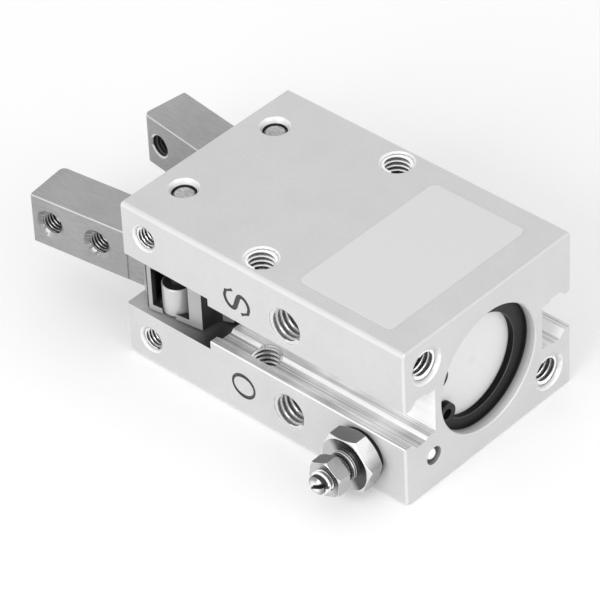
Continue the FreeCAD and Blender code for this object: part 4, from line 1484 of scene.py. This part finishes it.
@dataclass
class SmallParts:
    """Parts that keep their CAD shape and get softened edges, a finish or both, sizes in millimetres."""

    finishes: Finishes
    pivot: tuple[float, float] = (-41.8, 8.2)
    pin_rim: float = 1.43

    def pin_end(self, side: Side) -> bpy.types.Material:
        """A pivot pin's steel: scratched grey ends with a dark ring of painted shade at the rim.

        Args:
            side: the pin's side.

        Returns:
            The material.
        """
        number = 1 + (side is Side.RIGHT)
        centre = (self.pivot[0], self.pivot[1] * side.value, 0)
        # Dark ring at the pin's rim: painted shade.
        return Finish("pivot_pin_%d" % number, grey(0.42), metallic=0.4, roughness=0.34, spread=0.1,
                      tint=0.6, grain=(0.4, 1.0, 1.0), turn=0.6, grain_size=0.22, relief=0.008,
                      changes=(Halo(centre, "z", self.pin_rim, grey(0.03), 0.06),)).make()

    def tones(self, material: bpy.types.Material) -> tuple[Sequence[bpy.types.Material], Rule]:
        """The finishes of a part and the rule that sorts its faces into them, with painted shade on the
        roller's ends and on the ring's walls and a painted highlight on the ring's bevels.

        Args:
            material: the part's main finish.

        Returns:
            The materials and the rule.
        """
        f = self.finishes
        # The roller's end faces take the root's painted shade.
        if material is f.roller:
            return (material, f.root), lambda place, normal: int(abs(normal.z) > 0.9)
        # Ring faces: the face, the walls with painted shade, the bevels with a painted highlight.
        if material is f.black:
            return ((material, f.ring_edge, f.ring_line),
                    lambda place, normal: 0 if abs(normal.x) > 0.9 else 1 if abs(normal.x) < 0.2 else 2)
        return (material,), lambda place, normal: 0

    def dress(self) -> None:
        """Dresses each of the parts."""
        f = self.finishes
        steel = Finish("fork_steel", grey(0.4), metallic=0.8, roughness=0.36, tint=0.12).make()
        # Node, body, slot, finish and width of the softened edges
        rows = (
            ("end_cap", "housing", Slot.RESIN, f.resin, 0.0),
            ("retaining_ring", "housing", Slot.RING, f.black, 0.1),
            ("left_pivot_pin", "housing", Slot.PIN, self.pin_end(Side.LEFT), 0.05),
            ("right_pivot_pin", "housing", Slot.PIN, self.pin_end(Side.RIGHT), 0.05),
            ("left_side_roller", "left_roller", Slot.PIN, f.roller, 0.04),
            ("right_side_roller", "right_roller", Slot.PIN, f.roller, 0.04),
            ("pusher_head", "piston", Slot.FINGER, steel, 0.12),
            ("left_drive_pin", "piston", Slot.PIN, f.pin, 0.08),
            ("right_drive_pin", "piston", Slot.PIN, f.pin, 0.08),
            ("gland_gasket", "housing", Slot.RUBBER, f.rubber, 0.1),
        )
        for node, body, slot, material, round_off in rows:
            made = copy_of(node, "%s_dressed" % node)
            soften(made, round_off * MM)
            sort_faces(made, *self.tones(material))
            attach(made, body)
            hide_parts(node)
            log.info("%s", node)
        # The roller pins take the thread root's painted shade, and the ball plug the ball's painted shade
        # ring.
        plain = {
            "ball_plug": f.ball, "type_label": f.film, "cap_oring": f.rubber, "piston_seal": f.rubber,
            "rod_seal": f.rubber, "head_bumper": f.rubber, "cap_bumper": f.rubber, "magnet_ring": f.magnet,
            "wear_ring": f.resin, "rod_bush": f.bronze, "rod_nut": f.pin, "piston_rod": f.pin,
            "piston": f.extruded, "left_roller_pin": f.root, "right_roller_pin": f.root,
        }
        for node, material in plain.items():
            paint_with(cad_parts[node], material)


@dataclass
class Studio:
    """Floor, soft light and the camera at the photograph's angle, in millimetres, with lamps in metres."""

    floor: float = -11.75
    floor_size: float = 3000.0
    floor_glow: float = 0.07
    eye: tuple[float, float, float] = (244.473, -283.441, 312.555)
    azimuth: float = 44.178
    elevation: float = 38.812
    roll: float = -2.808
    lens_px: float = 4074.63
    frame_px: int = 600
    film: float = 36.0
    room: float = 0.76
    target: tuple[float, float, float] = (-20.0, 0.0, 0.0)
    # Name, place, side of the square and watts of each lamp
    lamps: tuple[tuple, ...] = (("key", (0.05, -0.6, 0.3), 0.4, 1.9), ("side", (0.6, 0.0, 0.2), 0.5, 1.05))

    def camera(self) -> None:
        """Sets the camera."""
        data = bpy.data.cameras.new("camera")
        data.sensor_width = self.film
        data.lens = self.lens_px / self.frame_px * self.film
        data.clip_start, data.clip_end = 0.01, 10.0
        obj = bpy.data.objects.new("camera", data)
        bpy.context.scene.collection.objects.link(obj)
        a, e = math.radians(self.azimuth), math.radians(self.elevation)
        back = Vector((math.sin(a) * math.cos(e), -math.cos(a) * math.cos(e), math.sin(e)))
        right = (-back).cross(Vector((0, 0, 1))).normalized()
        up = right.cross(-back)
        basis = Matrix((right, up, back)).transposed().to_4x4()
        basis = basis @ Matrix.Rotation(math.radians(self.roll), 4, "Z")
        basis.translation = Vector(self.eye) * MM
        obj.matrix_world = basis
        bpy.context.scene.camera = obj

    def floor_plane(self) -> None:
        """Lays a plain pale floor that keeps the gripper's shadow."""
        plane = added(bpy.ops.mesh.primitive_plane_add, size=self.floor_size * MM,
                      location=(0, 0, (self.floor - NEAR) * MM))
        plane.name = "floor"
        paint = Paint("floor_paper")
        glow = paint.mix((0, 0, 0), (self.floor_glow,) * 3, paint.seen())
        paint.set(Base_Color=(0.97, 0.97, 0.97, 1), Roughness=0.9, Emission_Color=glow, Emission_Strength=1.0)
        paint_with(plane, paint.material)

    def light(self, name: str, place: Sequence[float], size: float, power: float) -> None:
        """A square soft lamp that looks at the gripper.

        Args:
            name: the lamp's name.
            place: its place in metres.
            size: the side of its square.
            power: its power in watts.
        """
        data = bpy.data.lights.new(name, "AREA")
        data.shape, data.size, data.energy = "SQUARE", size, power
        obj = bpy.data.objects.new(name, data)
        bpy.context.scene.collection.objects.link(obj)
        obj.location = place
        toward = Vector(self.target) * MM - Vector(place)
        obj.rotation_euler = toward.to_track_quat("-Z", "Y").to_euler()

    def world(self) -> None:
        """A pale studio room: plain light on the gripper, white where the camera or a reflection sees it."""
        world = bpy.data.worlds.new("room")
        bpy.context.scene.world = world
        air = Tree(world)
        level = air.seen() * (1.0 - self.room) + self.room
        back = air.node("ShaderNodeBackground", {}, {"Color": (1, 1, 1, 1), "Strength": level})
        air.node("ShaderNodeOutputWorld", {}, {"Surface": back.outputs[0]})

    def build(self) -> None:
        """Sets the whole studio."""
        bpy.context.scene.view_settings.view_transform = "Standard"
        self.camera()
        self.floor_plane()
        self.world()
        for lamp in self.lamps:
            self.light(*lamp)
        log.info("studio")


def main() -> None:
    """Builds the pieces in order."""
    logging.basicConfig(level=logging.INFO, format="%(message)s")
    Studio().build()
    finishes = Finishes()
    Housing(finishes).dress()
    for side in Side:
        Finger(finishes, side).dress()
    NeedleValve(finishes).dress()
    SmallParts(finishes).dress()


if __name__ == "__main__":
    main()
